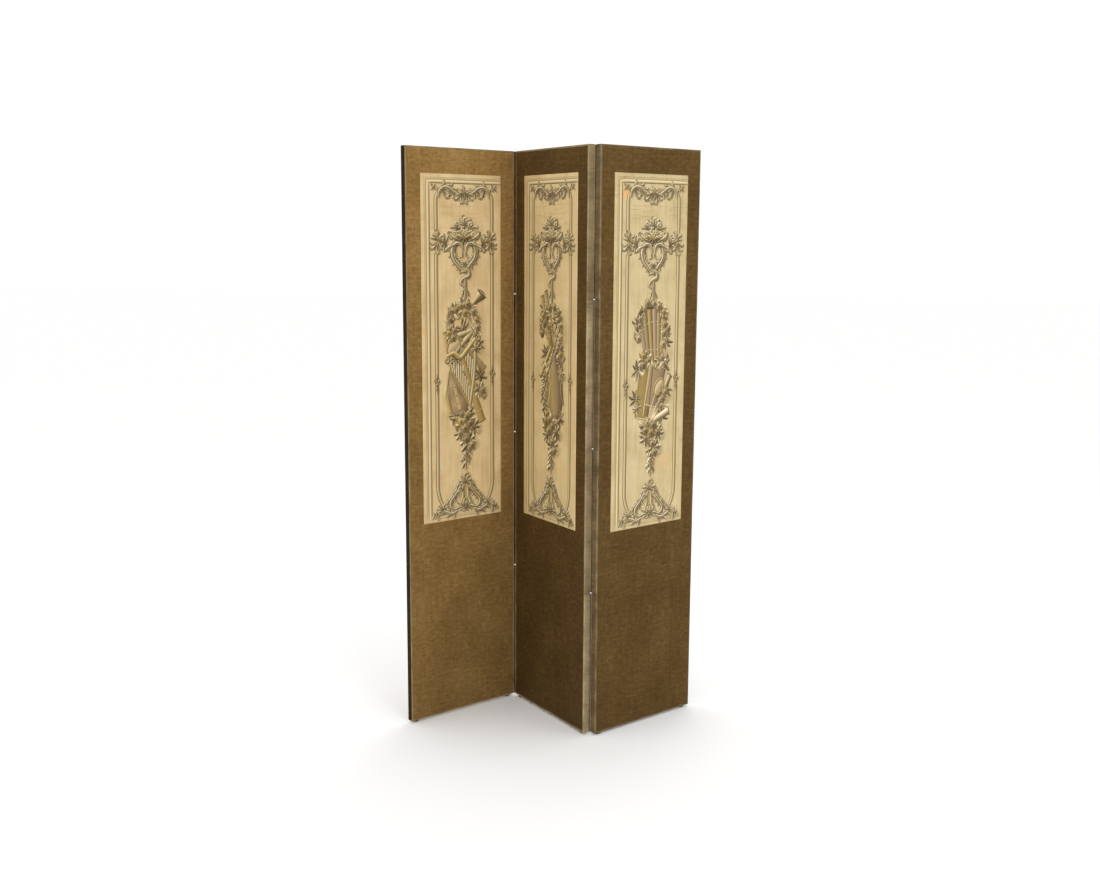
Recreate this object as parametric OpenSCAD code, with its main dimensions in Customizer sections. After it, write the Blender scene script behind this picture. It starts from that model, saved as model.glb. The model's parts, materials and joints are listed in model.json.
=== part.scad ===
// Three-panel folding screen.
// Each panel is a dowelled softwood frame between two hardboard skins, covered in woven
// cloth, bound round its edges with tape, and carrying a tall painted picture on its front.
// The panels are joined by double-action cloth hinges: four bands of tape a fold, which
// cross the gap alternately from front to back and from back to front, so that each fold
// can turn either way about the corner where the tape goes round.
//
// +X runs along the screen from left to right, -Y is the painted front, +Z is up, and the
// origin is on the floor under the middle of the screen's bounding box.

/* [Panel] */
// Width of one panel over its edge binding
panel_w = 406.4; // [320:0.1:600]
// Height of one panel without its glides
panel_h = 1778; // [1300:1:2200]
// Thickness of the wooden frame
frame_t = 15; // [14:0.5:30]
// Thickness of each hardboard skin
board_t = 2.5; // [2:0.1:6]
// Thickness of the woven cover on each face
cloth_t = 0.8; // [0.6:0.1:1.5]
// Thickness of the tape bound round the edges
binding_t = 0.8; // [0.6:0.1:1.5]

/* [Frame] */
// Width of each upright stile
stile_w = 44; // [35:1:70]
// Height of the top rail
top_rail_h = 60; // [40:1:90]
// Height of the bottom rail
bottom_rail_h = 90; // [50:1:120]
// Height of each cross rail
cross_rail_h = 44; // [35:1:60]
// Diameter of the dowels
dowel_d = 8; // [6:1:10]
// Length of the dowels
dowel_l = 50; // [40:1:60]

/* [Picture] */
// Width of the painted sheet
picture_w = 300; // [200:1:310]
// Height of the painted sheet
picture_h = 1070; // [600:1:1100]
// Thickness of the painted sheet
picture_t = 0.5; // [0.3:0.1:0.8]
// Distance from the top of the panel down to the sheet
picture_drop = 78; // [40:1:120]

/* [Fold] */
// How far each fold has turned away from a flat screen, in degrees
fold_turn = 96.5; // [30:0.1:150]
// Gap between two panels' edges when the screen is flat
hinge_gap = 2.8; // [2.6:0.1:4]
// Distance of the fold's axis in front of, or behind, the cloth
pivot_out = 1.4; // [1.3:0.1:2]
// Thickness of the hinge tape, and the radius of its rolled edges
tape_t = 1.2; // [0.6:0.1:1.2]
// Number of tape bands at each fold
band_count = 4; // [2:2:8]
// Space between one band and the next
band_space = 3; // [2:0.5:6]
// Width of the flap of tape glued under the cloth
flap_w = 22; // [12:1:35]
// Thickness of that flap, which lies in a rebate in the board
flap_t = 0.5; // [0.3:0.1:0.8]

/* [Glides] */
// Diameter of each nail-on glide
glide_d = 18; // [14:1:22]
// Height of each glide
glide_h = 7; // [5:0.5:10]
// Distance of each glide's middle from the panel's edge
glide_inset = 22; // [18:1:30]
// Diameter of the glide's nail
nail_d = 2.6; // [2:0.1:4]
// Length of the nail above the glide
nail_l = 16; // [10:1:18]

/* [Hidden] */
panel_t = frame_t + 2 * board_t + 2 * cloth_t;
core_w = panel_w - 2 * binding_t;
core_h = panel_h - 2 * binding_t;
panel_bottom = glide_h;
core_bottom = panel_bottom + binding_t;
core_top = core_bottom + core_h;
frame_y = cloth_t + board_t;
rail_l = core_w - 2 * stile_w;
picture_x = (panel_w - picture_w) / 2;
picture_bottom = panel_bottom + panel_h - picture_drop - picture_h;
dowel_clearance = 0.05;
rebate_clearance = 0.05;
binding_seam = 0.1;

// Rails, as [lower edge, height], from the bottom of the frame to the top
cross_rail_zs = [for (share = [1 / 3, 2 / 3]) core_bottom + share * core_h - cross_rail_h / 2];
bottom_rail = [core_bottom, bottom_rail_h];
top_rail = [core_top - top_rail_h, top_rail_h];
cross_rails = [for (z = cross_rail_zs) [z, cross_rail_h]];
// Deep rails take two dowels at each end, and cross rails take one
dowel_zs = concat(
    [for (rail = [bottom_rail, top_rail]) for (share = [0.25, 0.75]) rail[0] + share * rail[1]],
    [for (rail = cross_rails) rail[0] + rail[1] / 2]
);

// Glide profile
glide_foot_r = glide_d / 2 - 3;
glide_rim_h = 4;
nail_head_r = 4;
nail_head_t = 2;

// The fold's axes run along the tape's edges, one in front of the panels and one behind
bead_r = tape_t;
front_axis_y = -pivot_out;
back_axis_y = panel_t + pivot_out;
left_axis_x = -hinge_gap / 2;
right_axis_x = panel_w + hinge_gap / 2;
band_h = panel_h / band_count - band_space;

// Flaps lie on the face that their band is hinged to: odd or even bands, counted from the top
FRONT_ODD = 1;
FRONT_EVEN = 0;

// Plan layout. Each place is [x of axis, y of axis, turn about it, shift along the flat screen],
// in the middle panel's own plan, and the whole screen is then turned and centred.
MIDDLE_PLACE = [0, 0, 0, 0];
LEFT_PLACE = [left_axis_x, front_axis_y, fold_turn, -(panel_w + hinge_gap)];
RIGHT_PLACE = [right_axis_x, back_axis_y, fold_turn, panel_w + hinge_gap];
screen_turn = -fold_turn / 2;

function turned(p, a) = [p[0] * cos(a) - p[1] * sin(a), p[0] * sin(a) + p[1] * cos(a)];
function placed(p, place) =
    let (axis = [place[0], place[1]])
    turned(axis + turned([p[0] + place[3], p[1]] - axis, place[2]), screen_turn);
// Everything that can touch the bounding box, as [x, y, radius]
function outline(place) = concat(
    [for (x = [0, panel_w]) for (y = [0, panel_t]) concat(placed([x, y], place), 0)],
    [for (x = [left_axis_x, right_axis_x]) for (y = [front_axis_y, back_axis_y])
        if (place == MIDDLE_PLACE) concat(placed([x, y], place), bead_r)]
);
screen_points = concat(outline(LEFT_PLACE), outline(MIDDLE_PLACE), outline(RIGHT_PLACE));
screen_min = [for (k = [0, 1]) min([for (p = screen_points) p[k] - p[2]])];
screen_max = [for (k = [0, 1]) max([for (p = screen_points) p[k] + p[2]])];
screen_centre = (screen_min + screen_max) / 2;

PANELS = ["left", "middle", "right"];
PLACES = [LEFT_PLACE, MIDDLE_PLACE, RIGHT_PLACE];
PANEL_PIECES = [
    "left_stile", "right_stile", "top_rail", "bottom_rail", "cross_rails", "dowels",
    "front_board", "back_board", "front_cloth", "back_cloth", "edge_binding", "picture",
    "glides", "glide_nails"
];
HINGES = ["left", "right"];
BANDS = [1:band_count];
FLAP_NODES = [
    "left_hinge_flaps_on_left_panel", "left_hinge_flaps_on_middle_panel",
    "right_hinge_flaps_on_middle_panel", "right_hinge_flaps_on_right_panel"
];
$fn = 48;

// Puts a child, drawn in a panel's own frame, where that panel stands
module at_place(place) {
    translate(-screen_centre)
        rotate(screen_turn)
            translate([place[0], place[1]])
                rotate(place[2])
                    translate([place[3] - place[0], -place[1]])
                        children();
}

module wood() {
    color("burlywood") children();
}

// Bores for the dowels on one side of the frame, open towards the joint
module dowel_bores(x) {
    for (z = dowel_zs)
        translate([x - dowel_l / 2, frame_y + frame_t / 2, z])
            rotate([0, 90, 0])
                cylinder(d = dowel_d + 2 * dowel_clearance, h = dowel_l);
}

module both_dowel_bores() {
    dowel_bores(binding_t + stile_w);
    dowel_bores(panel_w - binding_t - stile_w);
}

module glide_nail_bores() {
    for (x = [glide_inset, panel_w - glide_inset])
        translate([x, panel_t / 2, 0])
            cylinder(d = nail_d, h = panel_bottom + nail_l);
}

// Upright of the frame, with its left edge at x
module stile(x) {
    wood() difference() {
        translate([x, frame_y, core_bottom]) cube([stile_w, frame_t, core_h]);
        both_dowel_bores();
        glide_nail_bores();
    }
}

module rail(span) {
    wood() difference() {
        translate([binding_t + stile_w, frame_y, span[0]]) cube([rail_l, frame_t, span[1]]);
        both_dowel_bores();
    }
}

module both_cross_rails() {
    for (span = cross_rails) rail(span);
}

module dowels() {
    color("tan")
        for (x = [binding_t + stile_w, panel_w - binding_t - stile_w])
            for (z = dowel_zs)
                translate([x - dowel_l / 2 + 1, frame_y + frame_t / 2, z])
                    rotate([0, 90, 0])
                        cylinder(d = dowel_d, h = dowel_l - 2);
}

// Bottom of a band, counted from 1 at the top
function band_bottom(i) = panel_bottom + panel_h - i * panel_h / band_count + band_space / 2;

// Flaps of the bands whose number leaves this remainder, drawn with their outer face at
// y = 0 and growing by the clearance where they are cut out of the board
module flap_row(remainder, side, grow) {
    x = side < 0 ? binding_t - grow : panel_w - binding_t - flap_w - grow;
    for (i = BANDS)
        if (i % 2 == remainder)
            translate([x, 0, band_bottom(i) - grow])
                cube([flap_w + 2 * grow, flap_t, band_h + 2 * grow]);
}

// Flaps on both faces of one side of a panel
module flaps(side, front_remainder) {
    color("dimgray") {
        translate([0, cloth_t, 0]) flap_row(front_remainder, side, 0);
        translate([0, panel_t - cloth_t - flap_t, 0]) flap_row(1 - front_remainder, side, 0);
    }
}

// Hardboard skin. Each entry of rebates is [side, remainder of the bands whose flaps it takes]
module board(y, rebate_y, rebates) {
    color("sienna") difference() {
        translate([binding_t, y, core_bottom]) cube([core_w, board_t, core_h]);
        for (r = rebates)
            translate([0, rebate_y, 0]) flap_row(r[1], r[0], rebate_clearance);
    }
}

module front_board(rebates) {
    board(cloth_t, cloth_t, rebates);
}

module back_board(rebates) {
    board(panel_t - cloth_t - board_t, panel_t - cloth_t - flap_t, rebates);
}

module cloth(y) {
    color("#71552c")
        translate([binding_t, y, core_bottom]) cube([core_w, cloth_t, core_h]);
}

// Tape on the four edges: two long strips, with the top and bottom strips butted between them
module edge_binding() {
    color("#84714f") difference() {
        union() {
            for (x = [0, panel_w - binding_t])
                translate([x, 0, panel_bottom]) cube([binding_t, panel_t, panel_h]);
            for (z = [panel_bottom, core_top])
                translate([binding_t + binding_seam, 0, z])
                    cube([core_w - 2 * binding_seam, panel_t, binding_t]);
        }
        glide_nail_bores();
    }
}

module picture() {
    color("#cdb98a")
        translate([picture_x, -picture_t, picture_bottom]) cube([picture_w, picture_t, picture_h]);
}

// Pressed cap with a flat foot and a seat in its top for the nail's head
module glide() {
    rim_r = glide_d / 2;
    curve = [for (a = [-90:15:0])
        [glide_foot_r + (rim_r - glide_foot_r) * cos(a), glide_rim_h * (1 + sin(a))]];
    color("#5b5650") difference() {
        rotate_extrude()
            polygon(concat([[0, 0]], curve, [[rim_r, glide_h], [0, glide_h]]));
        translate([0, 0, glide_h - nail_head_t]) cylinder(r = nail_head_r, h = nail_head_t + 1);
    }
}

module glide_nail() {
    color("silver") {
        translate([0, 0, glide_h - nail_head_t]) cylinder(r = nail_head_r, h = nail_head_t);
        translate([0, 0, glide_h]) cylinder(d = nail_d, h = nail_l);
    }
}

module at_glides() {
    for (x = [glide_inset, panel_w - glide_inset])
        translate([x, panel_t / 2, 0]) children();
}

// One band of hinge tape in the gap, its edges rolled round the two axes of the fold
module hinge_band(i, axis_x) {
    color("#857250") translate([axis_x, 0, band_bottom(i)]) {
        translate([-tape_t / 2, front_axis_y, 0]) cube([tape_t, back_axis_y - front_axis_y, band_h]);
        for (y = [front_axis_y, back_axis_y])
            translate([0, y, 0]) cylinder(r = bead_r, h = band_h);
    }
}

// Which bands' flaps each side of each panel takes, as [side, remainder] for front and back
function front_rebates(p) =
    p == "left" ? [[1, FRONT_ODD]] :
    p == "middle" ? [[-1, FRONT_EVEN], [1, FRONT_EVEN]] : [[-1, FRONT_ODD]];
function back_rebates(p) = [for (r = front_rebates(p)) [r[0], 1 - r[1]]];

for (k = [0:2]) {
    p = PANELS[k];
    place = PLACES[k];
    name = str(p, "_panel_");
    at_place(place) stile(binding_t);
    at_place(place) stile(panel_w - binding_t - stile_w);
    at_place(place) rail(top_rail);
    at_place(place) rail(bottom_rail);
    at_place(place) both_cross_rails();
    at_place(place) dowels();
    at_place(place) front_board(front_rebates(p));
    at_place(place) back_board(back_rebates(p));
    at_place(place) cloth(0);
    at_place(place) cloth(panel_t - cloth_t);
    at_place(place) edge_binding();
    at_place(place) picture();
    at_place(place) at_glides() glide();
    at_place(place) at_glides() glide_nail();
}

// At rest the left fold has turned about its front axis and the right fold about its back
// axis. A band stays against the panel that it isn't turning away from.
for (i = BANDS) {
    at_place(i % 2 == 1 ? MIDDLE_PLACE : LEFT_PLACE)
            hinge_band(i, i % 2 == 1 ? left_axis_x : right_axis_x);
    at_place(i % 2 == 0 ? MIDDLE_PLACE : RIGHT_PLACE)
            hinge_band(i, i % 2 == 0 ? right_axis_x : left_axis_x);
}

at_place(LEFT_PLACE) flaps(1, FRONT_ODD);
at_place(MIDDLE_PLACE) flaps(-1, FRONT_EVEN);
at_place(MIDDLE_PLACE) flaps(1, FRONT_EVEN);
at_place(RIGHT_PLACE) flaps(-1, FRONT_ODD);
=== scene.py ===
import json
import math

import bmesh
import bpy
import numpy as np
from mathutils import Matrix, Vector


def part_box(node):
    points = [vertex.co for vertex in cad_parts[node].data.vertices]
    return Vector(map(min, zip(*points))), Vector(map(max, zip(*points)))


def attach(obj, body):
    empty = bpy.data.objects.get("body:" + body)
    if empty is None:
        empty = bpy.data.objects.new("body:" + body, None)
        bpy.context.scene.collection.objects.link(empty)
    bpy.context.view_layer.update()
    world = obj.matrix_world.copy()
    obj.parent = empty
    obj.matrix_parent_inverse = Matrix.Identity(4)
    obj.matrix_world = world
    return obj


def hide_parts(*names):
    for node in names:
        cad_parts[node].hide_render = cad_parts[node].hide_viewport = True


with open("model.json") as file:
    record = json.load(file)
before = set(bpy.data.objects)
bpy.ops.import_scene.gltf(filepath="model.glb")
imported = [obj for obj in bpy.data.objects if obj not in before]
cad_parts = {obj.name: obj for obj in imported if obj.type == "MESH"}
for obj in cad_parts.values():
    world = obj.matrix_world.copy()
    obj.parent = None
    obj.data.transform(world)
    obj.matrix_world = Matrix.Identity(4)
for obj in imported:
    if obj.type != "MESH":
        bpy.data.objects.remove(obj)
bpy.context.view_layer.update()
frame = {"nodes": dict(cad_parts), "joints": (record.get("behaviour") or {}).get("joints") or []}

MM = 0.001

# The hinge's own sizes, which set each panel's place from the fold axes
HINGE_GAP = 2.8 * MM
PIVOT_OUT = 1.4 * MM
BEAD_R = 1.2 * MM
WEB_T = 1.2 * MM
FLAP_W = 22 * MM
FLAP_T = 0.5 * MM
FLAP_DEPTH = 1.05 * MM

CLOTH_T = 0.8 * MM
BINDING_T = 0.8 * MM
PICTURE_T = 0.5 * MM


# ---------------------------------------------------------------- panels

class Panel:
    """A panel's own frame: x along its front from left to right, y from front to back, z up."""

    def __init__(self, name, right_axis_way, origin, seed):
        self.name = name
        self.body = name + "_panel"
        along = right_axis_way.normalized()
        back = Vector((-along.y, along.x, 0))
        self.place = Matrix((
            (along.x, back.x, 0, origin.x),
            (along.y, back.y, 0, origin.y),
            (0, 0, 1, 0),
            (0, 0, 0, 1),
        ))
        self.heading = math.atan2(along.y, along.x)
        self.seed = seed

    def node(self, piece):
        return f"{self.body}_{piece}"

    def to_row(self, points):
        """Points of this panel's frame, as rows of an array, in the row frame."""
        place = np.array(self.place)
        return points @ place[:3, :3].T + place[:3, 3]


def axis_point(name):
    x, y = next(j for j in frame["joints"] if j["name"] == name)["pos_m"][:2]
    return Vector((x, y, 0))


def turned_back(way):
    return Vector((-way.y, way.x, 0))


def turned_front(way):
    return Vector((way.y, -way.x, 0))


front_left, front_right = axis_point("left_fold_front"), axis_point("right_fold_front")
back_left, back_right = axis_point("left_fold_back"), axis_point("right_fold_back")
left_even, right_odd = axis_point("left_even_band_turn"), axis_point("right_odd_band_turn")

PANEL_W = (front_right - front_left).length - HINGE_GAP
PANEL_T = (back_left - front_left).length - 2 * PIVOT_OUT

middle_way = (front_right - front_left).normalized()
left_way = turned_front((left_even - front_left).normalized())
right_way = turned_front((back_right - right_odd).normalized())


def origin_right_of(axis, way):
    """The front left corner of a panel whose left edge is beside that front axis."""
    return axis + way * HINGE_GAP / 2 + turned_back(way) * PIVOT_OUT


PANELS = {
    "left": Panel("left", left_way, origin_right_of(front_left, left_way)
                  - left_way * (PANEL_W + HINGE_GAP), 11),
    "middle": Panel("middle", middle_way, origin_right_of(front_left, middle_way), 23),
    "right": Panel("right", right_way, origin_right_of(right_odd, right_way), 37),
}
binding_low, binding_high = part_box("middle_panel_edge_binding")
PANEL_BOTTOM, PANEL_TOP = binding_low.z, binding_high.z
PANEL_H = PANEL_TOP - PANEL_BOTTOM
picture_low, picture_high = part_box("middle_panel_picture")
PICTURE_BOTTOM, PICTURE_TOP = picture_low.z, picture_high.z
PICTURE_H = PICTURE_TOP - PICTURE_BOTTOM
picture_turn = abs(PANELS["middle"].heading)
PICTURE_W = ((picture_high.x - picture_low.x + picture_high.y - picture_low.y)
             / (math.cos(picture_turn) + math.sin(picture_turn)) - PICTURE_T)


# ---------------------------------------------------------------- camera, floor and light

def add_camera():
    """Stands where the photograph was taken from: right of the middle, a little above half height."""
    at = (0.6037, -3.8314, 1.5245)
    yaw, down, roll = math.radians(-9.05), math.radians(9.21), math.radians(0.29)
    forward = Vector((math.sin(yaw) * math.cos(down), math.cos(yaw) * math.cos(down), -math.sin(down)))
    right = forward.cross(Vector((0, 0, 1))).normalized()
    up = right.cross(forward)
    right, up = (right * math.cos(roll) + up * math.sin(roll),
                 up * math.cos(roll) - right * math.sin(roll))
    data = bpy.data.cameras.new("camera")
    data.lens = 41.26
    data.sensor_width = 36
    camera = bpy.data.objects.new("camera", data)
    camera.matrix_world = Matrix((
        (right.x, up.x, -forward.x, at[0]),
        (right.y, up.y, -forward.y, at[1]),
        (right.z, up.z, -forward.z, at[2]),
        (0, 0, 0, 1),
    ))
    bpy.context.scene.collection.objects.link(camera)
    bpy.context.scene.camera = camera


def add_area_light(name, at, aim, size, watts):
    data = bpy.data.lights.new(name, "AREA")
    data.shape = "RECTANGLE"
    data.size, data.size_y = size
    data.energy = watts
    light = bpy.data.objects.new(name, data)
    light.location = at
    light.rotation_euler = (Vector(aim) - Vector(at)).to_track_quat("-Z", "Y").to_euler()
    bpy.context.scene.collection.objects.link(light)


def add_stage():
    floor_half = 30
    corners = [(-floor_half, -floor_half, 0), (floor_half, -floor_half, 0),
               (floor_half, floor_half, 0), (-floor_half, floor_half, 0)]
    mesh = bpy.data.meshes.new("floor")
    mesh.from_pydata(corners, [], [(0, 1, 2, 3)])
    floor = bpy.data.objects.new("floor", mesh)
    bpy.context.scene.collection.objects.link(floor)
    look = Look("floor_pale", (0.955, 0.955, 0.95), 0.9)
    mesh.materials.append(look.material)

    world = bpy.data.worlds.new("studio")
    world.use_nodes = True
    background = world.node_tree.nodes["Background"]
    background.inputs["Color"].default_value = (1, 1, 1, 1)
    background.inputs["Strength"].default_value = 1.04
    bpy.context.scene.world = world
    bpy.context.scene.view_settings.view_transform = "Standard"

    add_area_light("key", (2.2, -3.4, 2.8), (-0.3, 0, 1.2), (1.6, 1.6), 34)
    add_area_light("fill", (-3.0, -3.0, 2.2), (0, 0, 1.0), (2.0, 2.0), 8)
    add_area_light("back", (0.5, 3.5, 2.4), (0, 0, 1.0), (2.5, 2.0), 20)


# ---------------------------------------------------------------- node trees

def display_to_linear(levels):
    """Display levels, 0 to 255, as linear light."""
    levels = np.clip(levels, 0, 255) / 255
    return np.where(levels <= 0.04045, levels / 12.92, ((levels + 0.055) / 1.055) ** 2.4)


def linear(red, green, blue):
    """A display colour as linear light with an alpha of one."""
    return (*display_to_linear((red, green, blue)).tolist(), 1)


def stops(dark, plain, light, middle=0.5):
    return [(0.0, dark), (middle, plain), (1.0, light)]


class Look:
    """A material, and short ways to add nodes to its tree."""

    def __init__(self, name, colour=(0.5, 0.5, 0.5), roughness=0.6, metallic=0.0, **sockets):
        self.material = bpy.data.materials.new(name)
        self.material.use_nodes = True
        self.tree = self.material.node_tree
        self.shader = self.tree.nodes["Principled BSDF"]
        self.set("Base Color", (*colour[:3], 1))
        self.set("Roughness", roughness)
        self.set("Metallic", metallic)
        for socket, value in sockets.items():
            self.set(socket.replace("_", " "), value)

    def set(self, socket, value):
        self.put(value, self.shader.inputs[socket])

    def put(self, value, socket):
        if isinstance(value, bpy.types.NodeSocket):
            self.tree.links.new(value, socket)
        else:
            socket.default_value = value

    def add(self, kind, result, inputs, **settings):
        node = self.tree.nodes.new(kind)
        for name, value in settings.items():
            setattr(node, name, value)
        for name, value in inputs.items():
            self.put(value, node.inputs[name])
        return node.outputs[result]

    def attribute(self, name, result="Vector"):
        return self.add("ShaderNodeAttribute", result, {}, attribute_name=name)

    def object_place(self, heading):
        """Places in the row frame, turned back by a panel's heading."""
        return self.moved(self.add("ShaderNodeTexCoord", "Object", {}), turn=(0, 0, -heading))

    def moved(self, where, scale=(1, 1, 1), turn=(0, 0, 0), shift=(0, 0, 0)):
        return self.add("ShaderNodeMapping", "Vector",
                        {"Vector": where, "Scale": scale, "Rotation": turn, "Location": shift})

    def noise(self, where, scale, detail=3.0, rough=0.5, warp=0.0):
        return self.add("ShaderNodeTexNoise", "Fac",
                        {"Vector": where, "Scale": scale, "Detail": detail, "Roughness": rough,
                         "Distortion": warp})

    def streaks(self, where, scale, detail=3, rough=0.5):
        """Noise with a scale of its own each way."""
        return self.noise(self.moved(where, scale), 1, detail, rough)

    def bands(self, where, scale, warp, detail_scale=1.0, way="Z"):
        return self.add("ShaderNodeTexWave", "Fac",
                        {"Vector": where, "Scale": scale, "Distortion": warp, "Detail": 2,
                         "Detail Scale": detail_scale}, bands_direction=way)

    def sum(self, kind, first, second=0.0, third=0.0):
        node = self.tree.nodes.new("ShaderNodeMath")
        node.operation = kind
        for value, socket in zip((first, second, third), node.inputs):
            self.put(value, socket)
        return node.outputs[0]

    def times(self, first, second):
        return self.sum("MULTIPLY", first, second)

    def blend(self, *weighted):
        """The sum of some values, each times its weight."""
        total = 0.0
        for value, weight in weighted:
            total = self.sum("MULTIPLY_ADD", value, weight, total)
        return total

    def spread(self, value, low, high, to_low=0.0, to_high=1.0):
        """The value's stretch from low to high, spread over to_low to to_high and clamped."""
        return self.add("ShaderNodeMapRange", "Result",
                        {"Value": value, "From Min": low, "From Max": high, "To Min": to_low,
                         "To Max": to_high})

    def ramp(self, value, stops):
        node = self.tree.nodes.new("ShaderNodeValToRGB")
        self.put(value, node.inputs["Fac"])
        points = node.color_ramp.elements
        while len(points) < len(stops):
            points.new(0.5)
        for point, (at, colour) in zip(points, stops):
            point.position = at
            point.color = colour
        return node.outputs["Color"]

    def shaded(self, colour, level):
        """The colour times a grey of that level."""
        grey = self.tree.nodes.new("ShaderNodeCombineColor")
        for socket in grey.inputs[:3]:
            self.put(level, socket)
        return self.mix(1.0, colour, grey.outputs[0], "MULTIPLY")

    def mix(self, share, first, second, blend="MIX"):
        node = self.tree.nodes.new("ShaderNodeMix")
        node.data_type = "RGBA"
        node.blend_type = blend
        self.put(share, node.inputs[0])
        self.put(first, node.inputs[6])
        self.put(second, node.inputs[7])
        return node.outputs[2]

    def height(self, where):
        """The z of a place."""
        return self.add("ShaderNodeSeparateXYZ", "Z", {0: where})

    def bump(self, height, depth, under=None):
        """Bump with its depth in metres, on top of another bump."""
        inputs = {"Height": height, "Distance": depth, "Strength": 1.0}
        if under is not None:
            inputs["Normal"] = under
        return self.add("ShaderNodeBump", "Normal", inputs)


# ---------------------------------------------------------------- meshes

def random_cloud(rng, shape, cells):
    """Smooth random values from -1 to 1 over a grid, with that many random cells each way."""
    knots = rng.uniform(-1, 1, (cells[0] + 3, cells[1] + 3))

    def weights(count, cell_count):
        at = np.linspace(0, cell_count, count, endpoint=False)
        left = np.floor(at).astype(int)
        part = at - left
        return left, part * part * (3 - 2 * part)

    i, s = weights(shape[0], cells[0])
    j, t = weights(shape[1], cells[1])
    s, t = s[:, None], t[None, :]
    i, j = i[:, None], j[None, :]
    return ((1 - s) * (1 - t) * knots[i, j] + s * (1 - t) * knots[i + 1, j]
            + (1 - s) * t * knots[i, j + 1] + s * t * knots[i + 1, j + 1])


def make_piece(panel, name, points, faces, look, body=None, floats=None, colours=None, smooth=True):
    """A new piece from points in a panel's own frame, standing where that panel stands. Its own_place
    attribute keeps those points, shifted by the panel's seed so that no two panels look alike."""
    points = np.asarray(points, float)
    mesh = bpy.data.meshes.new(name)
    mesh.from_pydata(panel.to_row(points).tolist(), [], faces)
    shape = bmesh.new()
    shape.from_mesh(mesh)
    bmesh.ops.recalc_face_normals(shape, faces=shape.faces)
    shape.to_mesh(mesh)
    shape.free()
    mesh.polygons.foreach_set("use_smooth", [smooth] * len(mesh.polygons))
    own_place = mesh.attributes.new("own_place", "FLOAT_VECTOR", "POINT")
    shifted = points + np.array([panel.seed, 0, 0])
    own_place.data.foreach_set("vector", shifted.astype(np.float32).ravel())
    for key, values in (floats or {}).items():
        layer = mesh.attributes.new(key, "FLOAT", "POINT")
        layer.data.foreach_set("value", np.asarray(values, np.float32).ravel())
    for key, values in (colours or {}).items():
        layer = mesh.attributes.new(key, "FLOAT_COLOR", "POINT")
        layer.data.foreach_set("color", np.asarray(values, np.float32).ravel())
    mesh.materials.append(look.material)
    mesh.update()
    piece = bpy.data.objects.new(name, mesh)
    bpy.context.scene.collection.objects.link(piece)
    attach(piece, body or panel.body)
    return piece


def grid_faces(rows, columns):
    """Quads of a grid of points that is listed row by row."""
    corner = np.arange(rows - 1)[:, None] * columns + np.arange(columns - 1)[None, :]
    quads = np.stack([corner, corner + 1, corner + columns + 1, corner + columns], -1)
    return quads.reshape(-1, 4)


def rim_of_grid(rows, columns):
    """The grid's outer points, once round."""
    top = np.arange(columns)
    right = np.arange(1, rows) * columns + columns - 1
    bottom = (rows - 1) * columns + np.arange(columns - 2, -1, -1)
    left = np.arange(rows - 2, 0, -1) * columns
    return np.concatenate([top, right, bottom, left])


def directions(path):
    """Unit vectors along a path, one at each of its points."""
    ways = np.gradient(path, axis=0)
    return ways / (np.linalg.norm(ways, axis=1)[:, None] + 1e-9)


def tube_faces(rings, count, first=0):
    """The sides and the two end caps of a tube made of rings of points that follow one another."""
    index = first + np.arange(rings * count).reshape(rings, count)
    after = np.roll(index, -1, axis=1)
    sides = np.stack([index[:-1], after[:-1], after[1:], index[1:]], -1).reshape(-1, 4)
    return sides.tolist() + [index[0].tolist(), index[-1][::-1].tolist()]


def closed_slab(x, z, front, back_y):
    """A closed sheet with a modelled face: front is y over the grid of z rows and x columns."""
    rows, columns = front.shape
    xs, zs = np.meshgrid(x, z)
    points = np.stack([xs, front, zs], -1).reshape(-1, 3)
    rim = rim_of_grid(rows, columns)
    under = points[rim].copy()
    under[:, 1] = back_y
    ring = len(points) + np.arange(len(rim))
    sides = np.stack([rim, np.roll(rim, -1), np.roll(ring, -1), ring], -1)
    faces = grid_faces(rows, columns).tolist() + sides.tolist() + [ring.tolist()]
    return np.concatenate([points, under]), faces


# ---------------------------------------------------------------- cloth covers

# Each panel's cloth: dark, plain and light. One brown cloth on all three: the middle panel's darker colours
# are painted shade, the left panel's lighter ones painted light
CLOTH_WITH_PANEL_LIGHT = {
    "left": (linear(96, 69, 30), linear(140, 107, 58), linear(176, 143, 88)),
    "middle": (linear(56, 38, 12), linear(82, 59, 24), linear(110, 84, 42)),
    "right": (linear(62, 43, 15), linear(92, 68, 31), linear(122, 95, 53)),
}
# How light each cover is at its foot and at its head: painted shade growing towards the foot together with
# some soiling there, and painted light at the head
FOOT_SHADE_AND_SOIL = {"left": (0.72, 1.08), "middle": (0.86, 1.06), "right": (0.94, 1.04)}


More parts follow.
